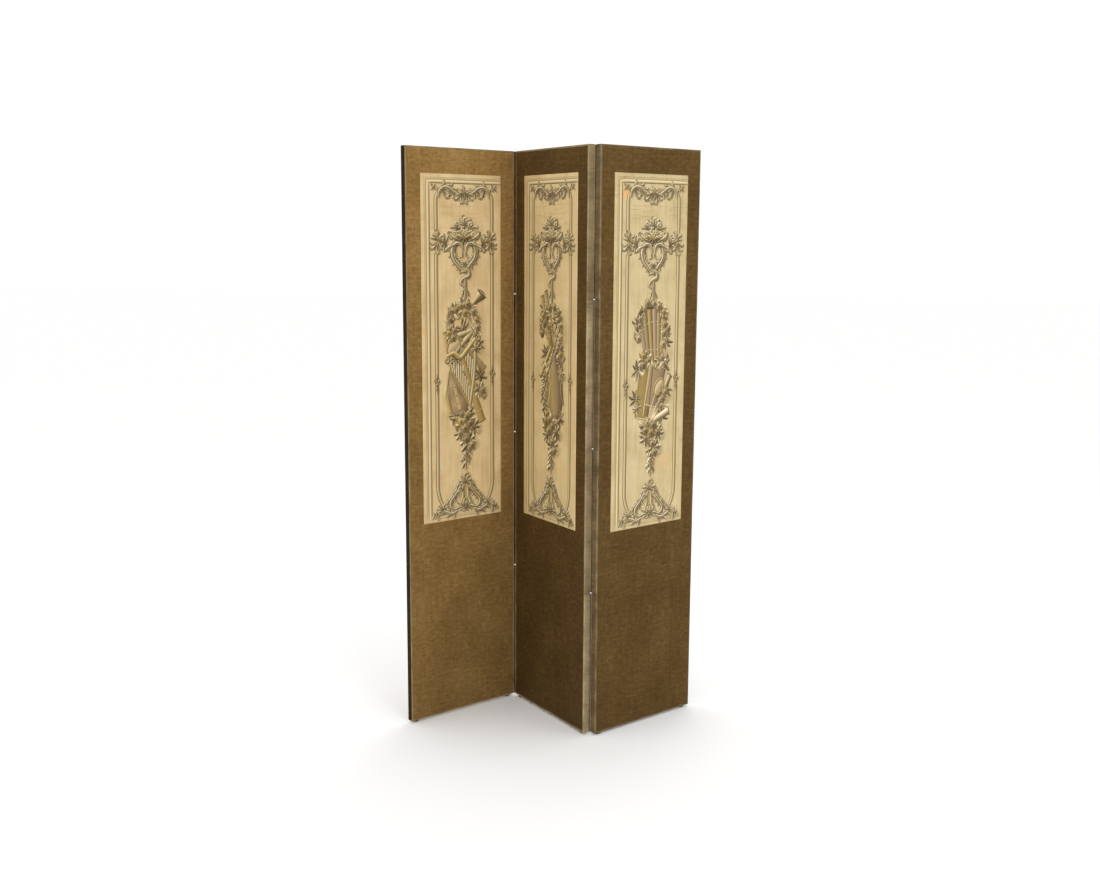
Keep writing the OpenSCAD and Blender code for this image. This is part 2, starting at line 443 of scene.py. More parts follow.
def cloth_look(panel):
    """Brown slubbed cloth in the panel's colours, which carry painted light and shade: fine upright warp
    streaks, soft weft bars, clouds of wear, and a foot darkened by painted shade and some soiling.
    """
    look = Look(f"{panel.name}_cloth", roughness=0.78, Specular_IOR_Level=0.12, Sheen_Weight=0.03,
                Sheen_Roughness=0.4, Sheen_Tint=linear(190, 160, 110))
    where = look.attribute("own_place")
    height = look.height(where)
    clouds = look.noise(where, 6.5, 5, 0.62)
    mottle = look.streaks(where, (55, 1, 110), 5, 0.72)
    warp_tone = look.streaks(where, (240, 1, 7), rough=0.6)
    weft_tone = look.streaks(where, (9, 1, 260), rough=0.65)
    flecks = look.streaks(where, (420, 1, 700), rough=0.7)
    tone = look.blend((clouds, 0.48), (mottle, 0.85), (warp_tone, 0.34), (weft_tone, 0.26), (flecks, 0.34),
                      (look.attribute("slub", "Fac"), 0.04))
    tone = look.spread(tone, 0.80, 1.46)
    weft = look.bands(where, 190, 1.5, 2.0)
    warp = look.bands(where, 230, 1.2, 2.0, "X")
    weave = look.times(weft, warp)
    # The panel's cloth colours, with its painted light or shade
    colour = look.ramp(tone, stops(*CLOTH_WITH_PANEL_LIGHT[panel.name]))
    # Painted shade towards the foot, with some soiling there, and painted light at the head
    colour = look.shaded(colour, look.spread(height, 0.0, 1.7, *FOOT_SHADE_AND_SOIL[panel.name]))
    colour = look.shaded(colour, look.sum("MULTIPLY_ADD", weave, 0.22, 0.88))
    look.set("Base Color", colour)
    normal = look.bump(weft_tone, 0.0005)
    normal = look.bump(warp_tone, 0.0003, normal)
    look.set("Normal", look.bump(weave, 0.0003, normal))
    look.set("Roughness", look.spread(tone, 0, 1, 0.86, 0.72))
    return look


def cloth_relief(rng, x, z):
    """How far the cloth stands out over the grid: slack between glue lines, weft bars and slubs."""
    rows, columns = len(z), len(x)
    relief = 0.10 * MM * random_cloud(rng, (rows, columns), (14, 5))
    relief += 0.05 * MM * random_cloud(rng, (rows, columns), (rows // 2, 5))
    relief += 0.04 * MM * random_cloud(rng, (rows, columns), (9, columns // 2))
    slubs = np.zeros((rows, columns))
    slub_count = 420
    for _ in range(slub_count):
        middle_x, middle_z = rng.uniform(x[0], x[-1]), rng.uniform(z[0], z[-1])
        half_length = rng.uniform(12, 60) * MM
        half_width = rng.uniform(0.9, 2.2) * MM
        along = np.clip(1 - ((x - middle_x) / half_length) ** 2, 0, 1)
        row = np.abs(z - middle_z) < 4 * half_width
        across = np.exp(-(((z[row] - middle_z) / half_width) ** 2))
        slubs[row] += across[:, None] * along[None, :]
    slubs = np.clip(slubs, 0, 1.4)
    return relief + 0.06 * MM * slubs, slubs


def add_cloth_covers(panel, look):
    width_step, height_step = 4.5 * MM, 2.2 * MM
    x = np.linspace(BINDING_T, PANEL_W - BINDING_T, round(PANEL_W / width_step))
    z = np.linspace(PANEL_BOTTOM + BINDING_T, PANEL_TOP - BINDING_T, round(PANEL_H / height_step))
    for side in ("front", "back"):
        rng = np.random.default_rng(panel.seed + len(side))
        relief, slubs = cloth_relief(rng, x, z)
        face_y, back_y = -relief, CLOTH_T
        if side == "back":
            face_y, back_y = PANEL_T + relief, PANEL_T - CLOTH_T
        points, faces = closed_slab(x, z, face_y, back_y)
        slub_values = np.concatenate([slubs.ravel(), np.zeros(len(points) - slubs.size)])
        cover = make_piece(panel, f"{panel.name}_{side}_cloth_cover", points, faces, look,
                           floats={"slub": slub_values})
        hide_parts(panel.node(side + "_cloth"))
        panel.node(side + "_board")


# ---------------------------------------------------------------- edge binding

LIP_W = 5.0 * MM
LIP_T = 0.40 * MM
EDGE_R = 1.9 * MM
CORNER_R = 2.1 * MM

# Painted shade on the screen's outer side edges and deep in the folds
SHADE_BROWN = linear(34, 25, 13)
# Each tape's plain, light and dark colour. One tape on all three: lighter on the middle panel as painted
# light, darker on the right panel as painted shade
BINDING_WITH_PANEL_LIGHT = {
    "left": (linear(138, 116, 80), linear(168, 144, 104), linear(100, 80, 50)),
    "middle": (linear(138, 120, 89), linear(172, 152, 116), linear(106, 88, 60)),
    "right": (linear(104, 87, 60), linear(148, 130, 94), linear(74, 58, 36)),
}


def tape_look(name, colour, light, dark):
    """Woven cotton tape: fine ribs, dirt in the ribs, edges lightened as rubbed wear and painted highlight,
    and painted shade towards a dark brown where the outer attribute asks.
    """
    look = Look(name, roughness=0.85, Specular_IOR_Level=0.06)
    where = look.attribute("own_place")
    clouds = look.noise(where, 14, 4, 0.6)
    streaks = look.streaks(where, (30, 30, 260), rough=0.6)
    ribs = look.bands(where, 190, 0.8)
    cross_ribs = look.streaks(where, (900, 900, 60), 2)
    tone = look.blend((clouds, 0.9), (streaks, 0.5), (ribs, 0.16), (cross_ribs, 0.3))
    shade = look.ramp(look.spread(tone, 0.62, 1.30), stops(dark, colour, light))
    # Lips and corner beads lightened as rubbed wear and as painted highlight
    rubbed_and_lit = look.times(look.attribute("rub_and_highlight", "Fac"), look.spread(clouds, 0.35, 0.6))
    # Painted shade: outer side edges and tape deep in the folds darkened towards a dark brown
    painted_shade = look.times(look.attribute("outer", "Fac"), look.spread(streaks, 0.2, 0.8, 1.0, 0.9))
    look.set("Base Color", look.mix(painted_shade, look.mix(rubbed_and_lit, shade, light), SHADE_BROWN))
    look.set("Normal", look.bump(cross_ribs, 0.0004, look.bump(ribs, 0.0003)))
    return look


def rounded_outline(inset, spacing=7 * MM, corner_steps=6):
    """Points round a panel's outline, moved in by inset, the same number for every inset."""
    r = max(CORNER_R - inset, 0.15 * MM)
    left, right = inset + r, PANEL_W - inset - r
    low, high = PANEL_BOTTOM + inset + r, PANEL_TOP - inset - r
    side_points = [round(PANEL_W / spacing), round(PANEL_H / spacing)] * 2
    outline = []
    for k, centre in enumerate(((right, high), (left, high), (left, low), (right, low))):
        for step in range(corner_steps + 1):
            angle = math.radians(90 * (k + step / corner_steps))
            outline.append((centre[0] + r * math.cos(angle), centre[1] + r * math.sin(angle)))
        next_x, next_z = ((left, high), (left, low), (right, low), (right, high))[k]
        angle = math.radians(90 * (k + 1))
        target = np.array([next_x + r * math.cos(angle), next_z + r * math.sin(angle)])
        side = np.linspace(outline[-1], target, side_points[k], endpoint=False)
        outline += side[1:].tolist()
    return np.array(outline)


def binding_section():
    """The tape's section as (inset from the edge, y, lightening by rubbed wear and painted highlight), out
    along the face and back inside.
    """
    outside = [(LIP_W, 0.06 * MM, 0.3), (LIP_W - 0.10 * MM, -0.26 * MM, 0.9),
               (LIP_W - 0.45 * MM, -LIP_T, 0.5), ((LIP_W + EDGE_R) / 2, -LIP_T, 0.0)]
    arc_steps = 6
    centre_y = EDGE_R - LIP_T
    for step in range(arc_steps + 1):
        angle = math.pi / 2 * step / arc_steps
        outside.append((EDGE_R - EDGE_R * math.sin(angle), centre_y - EDGE_R * math.cos(angle),
                        math.sin(2 * angle)))
    outside += [(0, PANEL_T * share, 0.0) for share in (0.25, 0.5)]
    outside += [(inset, PANEL_T - y, rub_and_highlight) for inset, y, rub_and_highlight in reversed(outside[:-1])]
    inner_y = 0.10 * MM
    inside = [(BINDING_T, PANEL_T - inner_y, 0.0), (BINDING_T, PANEL_T / 2, 0.0),
              (BINDING_T, inner_y, 0.0)]
    return outside + inside


def add_edge_binding(panel, look):
    """Tape folded over all four edges of a panel, with a lip on each face."""
    rng = np.random.default_rng(panel.seed + 100)
    section = binding_section()
    count = len(rounded_outline(0))
    wander, wander_back, pucker = (random_cloud(rng, (count, 1), (count // part, 1))[:, 0]
                                   for part in (6, 5, 3))
    rings, rubs_and_highlights = [], []
    for inset, y, rub_and_highlight in section:
        outline = rounded_outline(inset)
        on_lip = max(0, inset - EDGE_R) / (LIP_W - EDGE_R)
        drift = (wander if y < PANEL_T / 2 else wander_back) * on_lip * 0.55
        inward = rounded_outline(inset + MM) - outline
        outline = outline + inward * drift[:, None]
        lift = pucker * 0.07 * MM * (inset < LIP_W) * (inset > EDGE_R)
        ys = y + (lift if y < PANEL_T / 2 else -lift)
        rings.append(np.stack([outline[:, 0], ys * np.ones(count), outline[:, 1]], -1))
        rubs_and_highlights.append(np.full(count, rub_and_highlight))
    points = np.concatenate(rings)
    rows = np.arange(len(section) + 1)[:, None] % len(section)
    index = rows * count + np.arange(count)
    after = np.roll(index, -1, axis=1)
    faces = np.stack([index[:-1], after[:-1], after[1:], index[1:]], -1).reshape(-1, 4).tolist()
    # Painted shade on the screen's two outer side edges, behind their front corners; none on the middle panel
    side_x = {"left": 0, "middle": math.inf, "right": PANEL_W}[panel.name]
    on_side = np.clip(1 - np.abs(points[:, 0] - side_x) / (1.1 * MM), 0, 1)
    behind_corner = np.clip((points[:, 1] - 0.2 * MM) / MM, 0, 1)
    outer = on_side * behind_corner
    name = f"{panel.name}_edge_tape"
    tape = make_piece(panel, name, points, faces, look,
                      floats={"rub_and_highlight": np.concatenate(rubs_and_highlights) * (1 - outer), "outer": outer})
    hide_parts(panel.node("edge_binding"))


# ---------------------------------------------------------------- hinge bands

def band_section():
    """A band's section as (x, y): a web of doubled tape with a rolled edge at each axis."""
    front_y, back_y = -PIVOT_OUT, PANEL_T + PIVOT_OUT
    opening = math.degrees(math.asin(WEB_T / 2 / BEAD_R))
    arc_steps = 12
    section = []
    for centre_y, start in ((front_y, 90 + opening), (back_y, -90 + opening)):
        for step in range(arc_steps + 1):
            angle = math.radians(start + (360 - 2 * opening) * step / arc_steps)
            section.append((BEAD_R * math.cos(angle), centre_y + BEAD_R * math.sin(angle)))
        side = 1 if centre_y < 0 else -1
        shares = (0.2, 0.4, 0.6, 0.8) if side > 0 else (0.8, 0.6, 0.4, 0.2)
        section += [(side * WEB_T / 2, front_y + share * (back_y - front_y)) for share in shares]
    return np.array(section)


def thread(path, radius, sides=5):
    """A tapering loose thread as a closed tube: its points and faces."""
    points = []
    for k, (at, way) in enumerate(zip(path, directions(path))):
        across = np.cross(way, (0.3, 1.0, 0.2))
        across /= np.linalg.norm(across)
        other = np.cross(way, across)
        r = radius * (1 - 0.6 * k / (len(path) - 1))
        for side in range(sides):
            angle = 2 * math.pi * side / sides
            points.append(at + r * (across * math.cos(angle) + other * math.sin(angle)))
    return points, tube_faces(len(path), sides)


def add_hinge_band(hinge, number, panel, axis_x, body, look):
    """One band of hinge tape: slightly uneven rolled edges, and a few loose threads at its ends."""
    node = f"{hinge}_hinge_band_{number}"
    low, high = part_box(node)
    rng = np.random.default_rng(1000 + number + (50 if hinge == "right" else 0))
    section = band_section()
    heights = np.linspace(low.z, high.z, round((high.z - low.z) / (4 * MM)))
    count = len(section)
    bow = random_cloud(rng, (len(heights), 1), (9, 1))[:, 0] * 0.12 * MM
    swell = random_cloud(rng, (len(heights), count), (len(heights) // 2, 4)) * 0.07
    points = []
    for k, z in enumerate(heights):
        ring = section.copy()
        on_bead = (ring[:, 1] < 0) | (ring[:, 1] > PANEL_T)
        ring[:, 0] *= 1 + swell[k] * on_bead
        ring[:, 0] += axis_x + np.where(on_bead, 0.3, 1.0) * bow[k]
        end_drop = 5 * MM * swell[k] * (k in (0, len(heights) - 1))
        points.append(np.stack([ring[:, 0], ring[:, 1], z + end_drop * np.ones(count)], -1))
    points = np.concatenate(points)
    faces = tube_faces(len(heights), count)
    for end_z, way in ((low.z, -1), (high.z, 1)):
        for edge_y in (-PIVOT_OUT, PANEL_T + PIVOT_OUT):
            for _ in range(4):
                start = np.array([axis_x + rng.uniform(-0.7, 0.7) * MM, edge_y + rng.uniform(-0.7, 0.7) * MM,
                                  end_z - way * 0.6 * MM])
                lean = np.array([rng.uniform(-0.6, 0.6), rng.uniform(-0.6, 0.6), way])
                lean *= rng.uniform(1.2, 2.4) * MM
                curl = np.array([rng.uniform(-1, 1), rng.uniform(-1, 1), 0]) * 0.5 * MM
                path = [start + lean * t + curl * t * t for t in np.linspace(0, 1, 5)]
                more_points, more_faces = thread(path, 0.14 * MM)
                first = len(points)
                points = np.concatenate([points, more_points])
                faces += [[first + i for i in face] for face in more_faces]
    # The beads are lightened as rubbed wear and painted highlight, except under painted shade
    on_bead = ((points[:, 1] < 0.2 * MM) | (points[:, 1] > PANEL_T - 0.2 * MM)).astype(float)
    depth = points[:, 1] / PANEL_T
    # Painted shade deep in the fold's valley: over the odd bands' whole depth, only at the deepest part of
    # the even ones
    valley_depth = depth if hinge == "right" else 1 - depth
    painted_shade = np.interp(valley_depth, (0.0, 0.08, 0.85, 0.97, 1.1), (0.0, 0.10, 0.20, 0.85, 0.95))
    painted_shade = painted_shade if number % 2 else painted_shade * (valley_depth > 0.8)
    band = make_piece(panel, f"{hinge}_hinge_tape_{number}", points, faces, look, body=body,
                      floats={"rub_and_highlight": on_bead * (1 - painted_shade), "outer": painted_shade * 0.8})
    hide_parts(node)
    girth = np.linalg.norm(np.roll(section, -1, axis=0) - section, axis=1).sum()


def flap_section():
    """A flap's section as (inset from the panel's edge, depth below its face): flat under the cloth, then out
    at the corner as far as the bead. The first half goes out along one face, the second half back."""
    bead_reach = PIVOT_OUT - BEAD_R * 0.97 / math.sqrt(2)
    middle_line = np.array([(FLAP_W + BINDING_T, FLAP_DEPTH), (14 * MM, FLAP_DEPTH), (6 * MM, FLAP_DEPTH),
                            (2.2 * MM, FLAP_DEPTH), (1.2 * MM, 0.75 * MM), (0.4 * MM, 0.20 * MM),
                            (-bead_reach, -bead_reach)])
    side = directions(middle_line)[:, ::-1] * (-1, 1) * FLAP_T / 2
    return np.concatenate([middle_line + side, (middle_line - side)[::-1]])


def add_hinge_flaps(hinge, panel, at_left, front_bands, look):
    """The tape glued under a panel's cloth, which comes out at its corners and runs to the fold's beads."""
    points, faces = [], []
    section = flap_section()
    section_x = section[:, 0] if at_left else PANEL_W - section[:, 0]
    for number in range(1, 5):
        low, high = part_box(f"{hinge}_hinge_band_{number}")
        heights = np.linspace(low.z, high.z, round((high.z - low.z) / (6 * MM)))
        section_y = section[:, 1] if number in front_bands else PANEL_T - section[:, 1]
        faces += tube_faces(len(heights), len(section), len(points))
        points += [(x, y, z) for z in heights for x, y in zip(section_x, section_y)]
    flaps = make_piece(panel, f"{hinge}_tape_flaps_on_{panel.name}", points, faces, look)
    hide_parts(f"{hinge}_hinge_flaps_on_{panel.body}")
    one_face = section[:len(section) // 2]
    flap_w = np.linalg.norm(np.diff(one_face, axis=0), axis=1).sum()
    panel.node("front_board")
    panel.node("back_board")


def add_hinges():
    """All the bands and flaps, in three copies of one taupe tape: plain, darker as painted shade for the
    right fold's odd bands, and darkest as painted shade for most of the left fold's valley.
    """
    clean = tape_look("hinge_taupe", linear(152, 134, 102), linear(190, 170, 132), linear(114, 97, 70))
    # Painted shade: the dull and dark copies are the same tape darkened for shade
    dull = tape_look("hinge_taupe_shaded", linear(112, 95, 68), linear(156, 138, 102), linear(80, 64, 42))
    dark = tape_look("hinge_taupe_deep_shade", linear(84, 60, 24), linear(112, 84, 42), linear(50, 34, 10))
    left_x, right_x = -HINGE_GAP / 2, PANEL_W + HINGE_GAP / 2
    for number in (1, 3):
        add_hinge_band("left", number, PANELS["middle"], left_x, "left_odd_bands", dark)
        add_hinge_band("right", number, PANELS["right"], left_x, "right_odd_bands", dull)
    for number in (2, 4):
        look = dark if number == 2 else clean
        add_hinge_band("left", number, PANELS["left"], right_x, "left_even_bands", look)
        add_hinge_band("right", number, PANELS["middle"], right_x, "right_even_bands", clean)
    add_hinge_flaps("left", PANELS["left"], False, (1, 3), dark)
    add_hinge_flaps("left", PANELS["middle"], True, (2, 4), dark)
    add_hinge_flaps("right", PANELS["middle"], False, (2, 4), clean)
    add_hinge_flaps("right", PANELS["right"], True, (1, 3), clean)


# ---------------------------------------------------------------- the picture's sheet

# Each picture's ground: plain, light and dark
GROUND = {
    "left": (linear(206, 178, 128), linear(222, 198, 150), linear(186, 156, 106)),
    "middle": (linear(205, 178, 126), linear(218, 194, 144), linear(184, 156, 104)),
    "right": (linear(194, 173, 126), linear(211, 192, 146), linear(172, 150, 103)),
}
# Water stains as (x, height from the floor, radius, strength), in metres in the panel's own frame
STAINS = {
    "left": [(0.060, 1.240, 0.018, 0.60), (0.070, 1.110, 0.014, 0.30)],
    "middle": [(0.300, 0.800, 0.016, 0.30)],
    "right": [(0.100, 1.648, 0.024, 0.85), (0.330, 1.660, 0.016, 0.35), (0.270, 0.830, 0.045, 0.22)],
}


def picture_look(panel, painted):
    """Aged cream ground, with the paint of the ornament over it where the piece is painted."""
    look = Look(f"{panel.name}_{'painting' if painted else 'picture'}", roughness=0.7)
    where = look.attribute("own_place")
    plain, light, dark = GROUND[panel.name]
    clouds = look.noise(where, 11, 5, 0.6)
    streaks = look.streaks(where, (120, 1, 7))
    fibres = look.streaks(where, (700, 1, 90), 2, 0.7)
    tone = look.spread(look.blend((clouds, 0.8), (streaks, 0.45), (fibres, 0.25)), 0.5, 1.0)
    colour = look.ramp(tone, stops(dark, plain, light, 0.45))
    for stain in STAINS[panel.name]:
        colour = look.mix(stain_mask(look, where, panel, *stain), colour, linear(226, 164, 92))
    near_top = look.spread(look.height(look.moved(where, shift=(-panel.seed, 0, 0))), PICTURE_TOP - 0.34,
                           PICTURE_TOP - 0.08)
    cell_place = look.moved(where, (9, 1, 85))
    cracks = look.add("ShaderNodeTexVoronoi", "Distance", {"Vector": cell_place, "Scale": 1},
                      feature="DISTANCE_TO_EDGE")
    patchy = look.spread(look.noise(where, 16, detail=2), 0.52, 0.62)
    crack = look.times(look.spread(cracks, 0.035, 0.0), look.times(patchy, near_top))
    colour = look.mix(look.times(crack, 0.6), colour, linear(150, 122, 78))
    if painted:
        paint = look.attribute("paint", "Color")
        alpha = look.attribute("paint", "Alpha")
        brush = look.streaks(where, (420, 1, 420), rough=0.65)
        paint = look.shaded(paint, look.spread(brush, 0.2, 0.8, 0.80, 1.16))
        colour = look.mix(look.times(alpha, look.spread(clouds, 0.2, 0.5, 0.86, 1.0)), colour, paint)
    look.set("Base Color", colour)
    look.set("Roughness", look.spread(tone, 0, 1, 0.74, 0.60))
    normal = look.bump(fibres, 0.0002)
    look.set("Normal", look.bump(crack, -0.0003, normal))
    return look


def stain_mask(look, where, panel, x, z, radius, strength):
    """One inside a ragged round stain and zero outside it."""
    middle = (panel.seed + x, 0, z)
    flat = look.add("ShaderNodeVectorMath", "Vector", {0: where, 1: (1, 0, 1)}, operation="MULTIPLY")
    away = look.add("ShaderNodeVectorMath", "Value", {0: flat, 1: middle}, operation="DISTANCE")
    ragged = look.sum("MULTIPLY_ADD", look.noise(where, 70), radius * 1.6, away)
    return look.spread(ragged, radius * 1.9, radius * 0.9, 0.0, strength)


def add_picture_sheet(panel):
    rng = np.random.default_rng(panel.seed + 200)
    left = (PANEL_W - PICTURE_W) / 2
    cell = 5 * MM
    x = np.linspace(left, left + PICTURE_W, round(PICTURE_W / cell))
    z = np.linspace(PICTURE_BOTTOM, PICTURE_TOP, round(PICTURE_H / cell))
    front = -PICTURE_T + 0.03 * MM * random_cloud(rng, (len(z), len(x)), (30, 9))
    points, faces = closed_slab(x, z, front, 0.0)
    look = picture_look(panel, painted=False)
    sheet = make_piece(panel, f"{panel.name}_picture_sheet", points, faces, look)
    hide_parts(panel.node("picture"))


# ---------------------------------------------------------------- the painted ornament

# The ornament is drawn in millimetres from the sheet's top left corner, x to the right and y down.
CENTRE = 159
MOULDING_HALF = 105
TROPHY_SQUEEZE = 0.9
SUN = np.array([-0.60, -0.80])
LAYER_STEP = 0.012
BLUNT = (1, 1)

# Places across a strip of paint, from its left edge to its right one
ROUND = np.array([-1.0, -0.84, -0.45, 0.0, 0.45, 0.84, 1.0])
LEAF = np.array([-1.0, -0.8, -0.42, -0.07, 0.07, 0.42, 0.8, 1.0])
SLIM = np.array([-1.0, -0.5, 0.5, 1.0])
PETAL = np.array([-1.0, -0.55, 0.0, 0.55, 1.0])

# Display colours from the darkest shadow to the brightest light
PALETTES = {
    "grey": np.array([[56, 42, 18], [89, 71, 38], [121, 100, 60], [157, 134, 90], [208, 189, 138],
                      [245, 231, 191]]),
    "ochre": np.array([[62, 46, 14], [98, 76, 30], [134, 108, 52], [168, 140, 78], [212, 188, 124],
                       [244, 228, 178]]),
    "rose": np.array([[66, 50, 30], [104, 82, 54], [136, 110, 80], [168, 140, 102], [208, 184, 138],
                      [240, 224, 182]]),
    "shade": np.array([[108, 90, 56]] * 2),
}


def tones_to_colours(tones, palette):
    """Linear colours for tones from 0, the palette's darkest, to 1, its brightest."""
    colours = PALETTES[palette]
    at = np.clip(tones, 0, 1) * (len(colours) - 1)
    low = np.minimum(at.astype(int), len(colours) - 2)
    part = (at - low)[..., None]
    return display_to_linear(colours[low] * (1 - part) + colours[low + 1] * part)


def between(values, share):
    """Values that stand evenly from 0 to 1, read at each share."""
    return np.interp(share, np.linspace(0, 1, len(values)), values)


def smooth_path(points, step=3.0):
    """An even path through the points, round at each of them."""
    points = np.asarray(points, float)
    ends = np.vstack([2 * points[0] - points[1], points, 2 * points[-1] - points[-2]])
    path = []
    for k in range(1, len(ends) - 2):
        a, b, c, d = ends[k - 1:k + 3]
        pieces = max(2, int(np.linalg.norm(c - b) / step))
        t = np.linspace(0, 1, pieces, endpoint=False)[:, None]
        path.append(0.5 * (2 * b + (c - a) * t + (2 * a - 5 * b + 4 * c - d) * t ** 2
                           + (3 * b - a - 3 * c + d) * t ** 3))
    return np.vstack(path + [points[-1:]])


def curling_path(start, heading, length, turns, step=2.5):
    """A path from start that turns as it goes: turns are its rates in degrees over the whole length."""
    count = max(5, int(length / step))
    rate = between(turns, np.linspace(0, 1, count))
    angle = np.radians(heading + np.concatenate([[0], np.cumsum((rate[1:] + rate[:-1]) / 2 / (count - 1))]))
    steps = np.stack([np.cos(angle), np.sin(angle)], -1) * length / (count - 1)
    return np.asarray(start, float) + np.vstack([[0, 0], np.cumsum(steps[:-1], axis=0)])


def mirrored(path):
    return np.asarray(path, float) * (-1, 1) + (2 * CENTRE, 0)


def way_of(degrees):
    return np.array([math.cos(math.radians(degrees)), math.sin(math.radians(degrees))])


def heading_of(way):
    return math.degrees(math.atan2(way[1], way[0]))


def lit(path):
    """How far a path's right side is turned to the light, as a column."""
    ways = directions(path)
    return (ways[:, 0] * SUN[1] - ways[:, 1] * SUN[0])[:, None]


class Painting:
    """The paint on one picture, gathered stroke by stroke into one mesh."""

    def __init__(self, panel):
        self.panel = panel
        self.rng = np.random.default_rng(panel.seed + 300)
        self.points, self.faces, self.paint = [], [], []
        self.count = 0

    def lay(self, path, left, right, across, tones, layer, palette="grey", outline=1.0, alpha=1.0,
            crown=0.16):
        """One closed strip of paint along a path, with a tone for each place across it."""
        tones[:, np.abs(across) == 1] *= outline
        side = directions(path)[:, ::-1] * (-1, 1)
        half = np.where(across < 0, left[:, None], right[:, None])
        flat = path[:, None] + side[:, None] * (across * half)[..., None]
        sheet_face = PICTURE_T / MM
        heights = sheet_face + 0.05 + layer * LAYER_STEP + crown * np.sqrt(1 - across ** 2)
        heights = np.broadcast_to(heights, tones.shape)
        points = np.stack([flat[..., 0], -heights, -flat[..., 1]], -1)
        foot = np.stack([path[:, 0], np.full(len(path), 0.10 - sheet_face), -path[:, 1]], -1)
        points = np.concatenate([points, foot[:, None]], 1) * MM
        alphas = np.broadcast_to(alpha, tones.shape)[..., None]
        paint = np.concatenate([tones_to_colours(tones, palette), alphas], -1)
        paint = np.concatenate([paint, paint[:, -1:]], 1)
        self.faces += tube_faces(len(path), len(across) + 1, self.count)
        self.points.append(points.reshape(-1, 3))
        self.paint.append(paint.reshape(-1, 4))
        self.count += points.shape[0] * points.shape[1]

    def shadow(self, path, left, right, shift=(5.0, 3.6), strength=0.55, ends=0.4):
        """A soft olive shadow that the shape throws on the ground, to its lower right."""
        path = path[::3] + shift
        share = np.linspace(0, 1, len(path))
        fade = np.clip(ends + 5 * np.minimum(share, 1 - share), 0, 1)
        alpha = fade[:, None] * np.array([0.0, strength, strength, 0.0])
        self.lay(path, left[::3] * 1.15 + 0.8, right[::3] * 1.15 + 0.8, SLIM, np.zeros((len(path), 4)),
                 self.rng.uniform(0, 1), "shade", alpha=alpha, crown=0.0)

    def stroke(self, path, width, layer=6, tone=0.46, swing=0.44, outline=0.26, palette="grey", alpha=1.0,
               along=(0.0,), crown=0.16, throws=True, taper=(0.5, 0.5), flutes=0.0):
        """A rounded band of paint, lit from the top left, with dark outlines. width is its half-width,
        one value or one for each of a few points along it."""
        path = np.asarray(path, float)
        share = np.linspace(0, 1, len(path))
        half = between(np.atleast_1d(width), share)
        half = half * np.minimum(1, taper[0] + share * len(path) / 3)
        half = half * np.minimum(1, taper[1] + (1 - share) * len(path) / 3)
        across = ROUND if half.max() > 2.4 else SLIM
        tones = tone + swing * np.sin(across * 1.35) * lit(path) + 0.10 * (1 - across ** 2)
        tones = tones - 1.6 * flutes * np.cos(across * 7.0) + between(along, share)[:, None]
        if throws:
            self.shadow(path, half, half)
        self.lay(path, half, half, across, tones, layer, palette, outline, alpha, crown)

    def curve(self, points, width, *settings, **more):
        self.stroke(smooth_path(points), width, *settings, **more)

    def line(self, start, end, count, width, *settings, **more):
        self.stroke(np.linspace(start, end, count), width, *settings, **more)

    def curve_both(self, points, width, *settings, **more):
        """A curve and its mirror image; gives back both paths, each with its outward side."""
        path = smooth_path(points)
        self.stroke(path, width, *settings, **more)
        self.stroke(mirrored(path), width, *settings, **more)
        return ((path, -1), (mirrored(path), 1))

    def both(self, draw, at, heading, *sizes, **settings):
        """The same drawn as it is and mirrored in the ornament's middle."""
        draw(at, heading, *sizes, **settings)
        if "bend" in settings:
            settings["bend"] = -settings["bend"]
        draw((2 * CENTRE - at[0], at[1]), 180 - heading, *sizes, **settings)

    def plume(self, base, heading, length, width, layer=8, tone=0.36, palette="grey", bend=90, lobes=3):
        """A broad acanthus tip that rolls over at its end: scalloped outside, with flutes down its length."""
        turns = (0, bend * 0.4, bend, bend * 4.5)
        path = curling_path(base, heading, length, turns, length / (3 * lobes + 2))
        share = np.linspace(0, 1, len(path))
        swell = width * np.interp(share, (0, 0.25, 0.6, 0.86, 1), (0.30, 0.72, 1.0, 0.86, 0.36))
        outer, inner = swell * (1 - 0.30 * np.abs(np.cos(lobes * np.pi * share))), swell * 0.82
        left, right = (outer, inner) if bend > 0 else (inner, outer)
        tones = tone + 0.42 * np.sin(ROUND * 1.35) * lit(path) - 0.24 * np.cos(ROUND * 7)
        tones = tones + np.interp(share, (0, 0.3, 0.75, 0.92, 1), (-0.30, -0.08, 0.26, 0.06, -0.36))[:, None]
        self.shadow(path, left, right)
        self.lay(path, left, right, ROUND, tones, layer, palette, 0.28)

    def fan(self, at, heading, spread, radius, count, layer=9, tone=0.34, palette="grey"):
        """Plumes that spread like the fingers of a hand, each rolling outwards at its tip."""
        for k in range(count):
            share = 2 * k / (count - 1) - 1
            size = radius * (1 - 0.25 * abs(share)) * self.rng.uniform(0.9, 1.1)
            bend = self.rng.uniform(70, 130) * (1 if share > 0 else -1)
            self.plume(at, heading + share * spread / 2, size, size * 0.24, layer + 2 * (k % 2),
                       tone + self.rng.uniform(-0.06, 0.08), palette, bend)

    def ruffle(self, path, size, count, flip, edge, layer=10, spread=30, bend=90, width=0.30):
        """Plumes along one side of a band, all leaning back from its end."""
        for k in range(count):
            at = int((k + 0.7) / (count + 0.4) * (len(path) - 1))
            heading = heading_of(path[min(len(path) - 1, at + 1)] - path[at])
            base = path[at] + edge * way_of(heading + flip * 90)
            self.plume(base, heading + flip * spread, size, size * width, layer + k % 2,
                       self.rng.uniform(0.26, 0.44), bend=flip * bend)

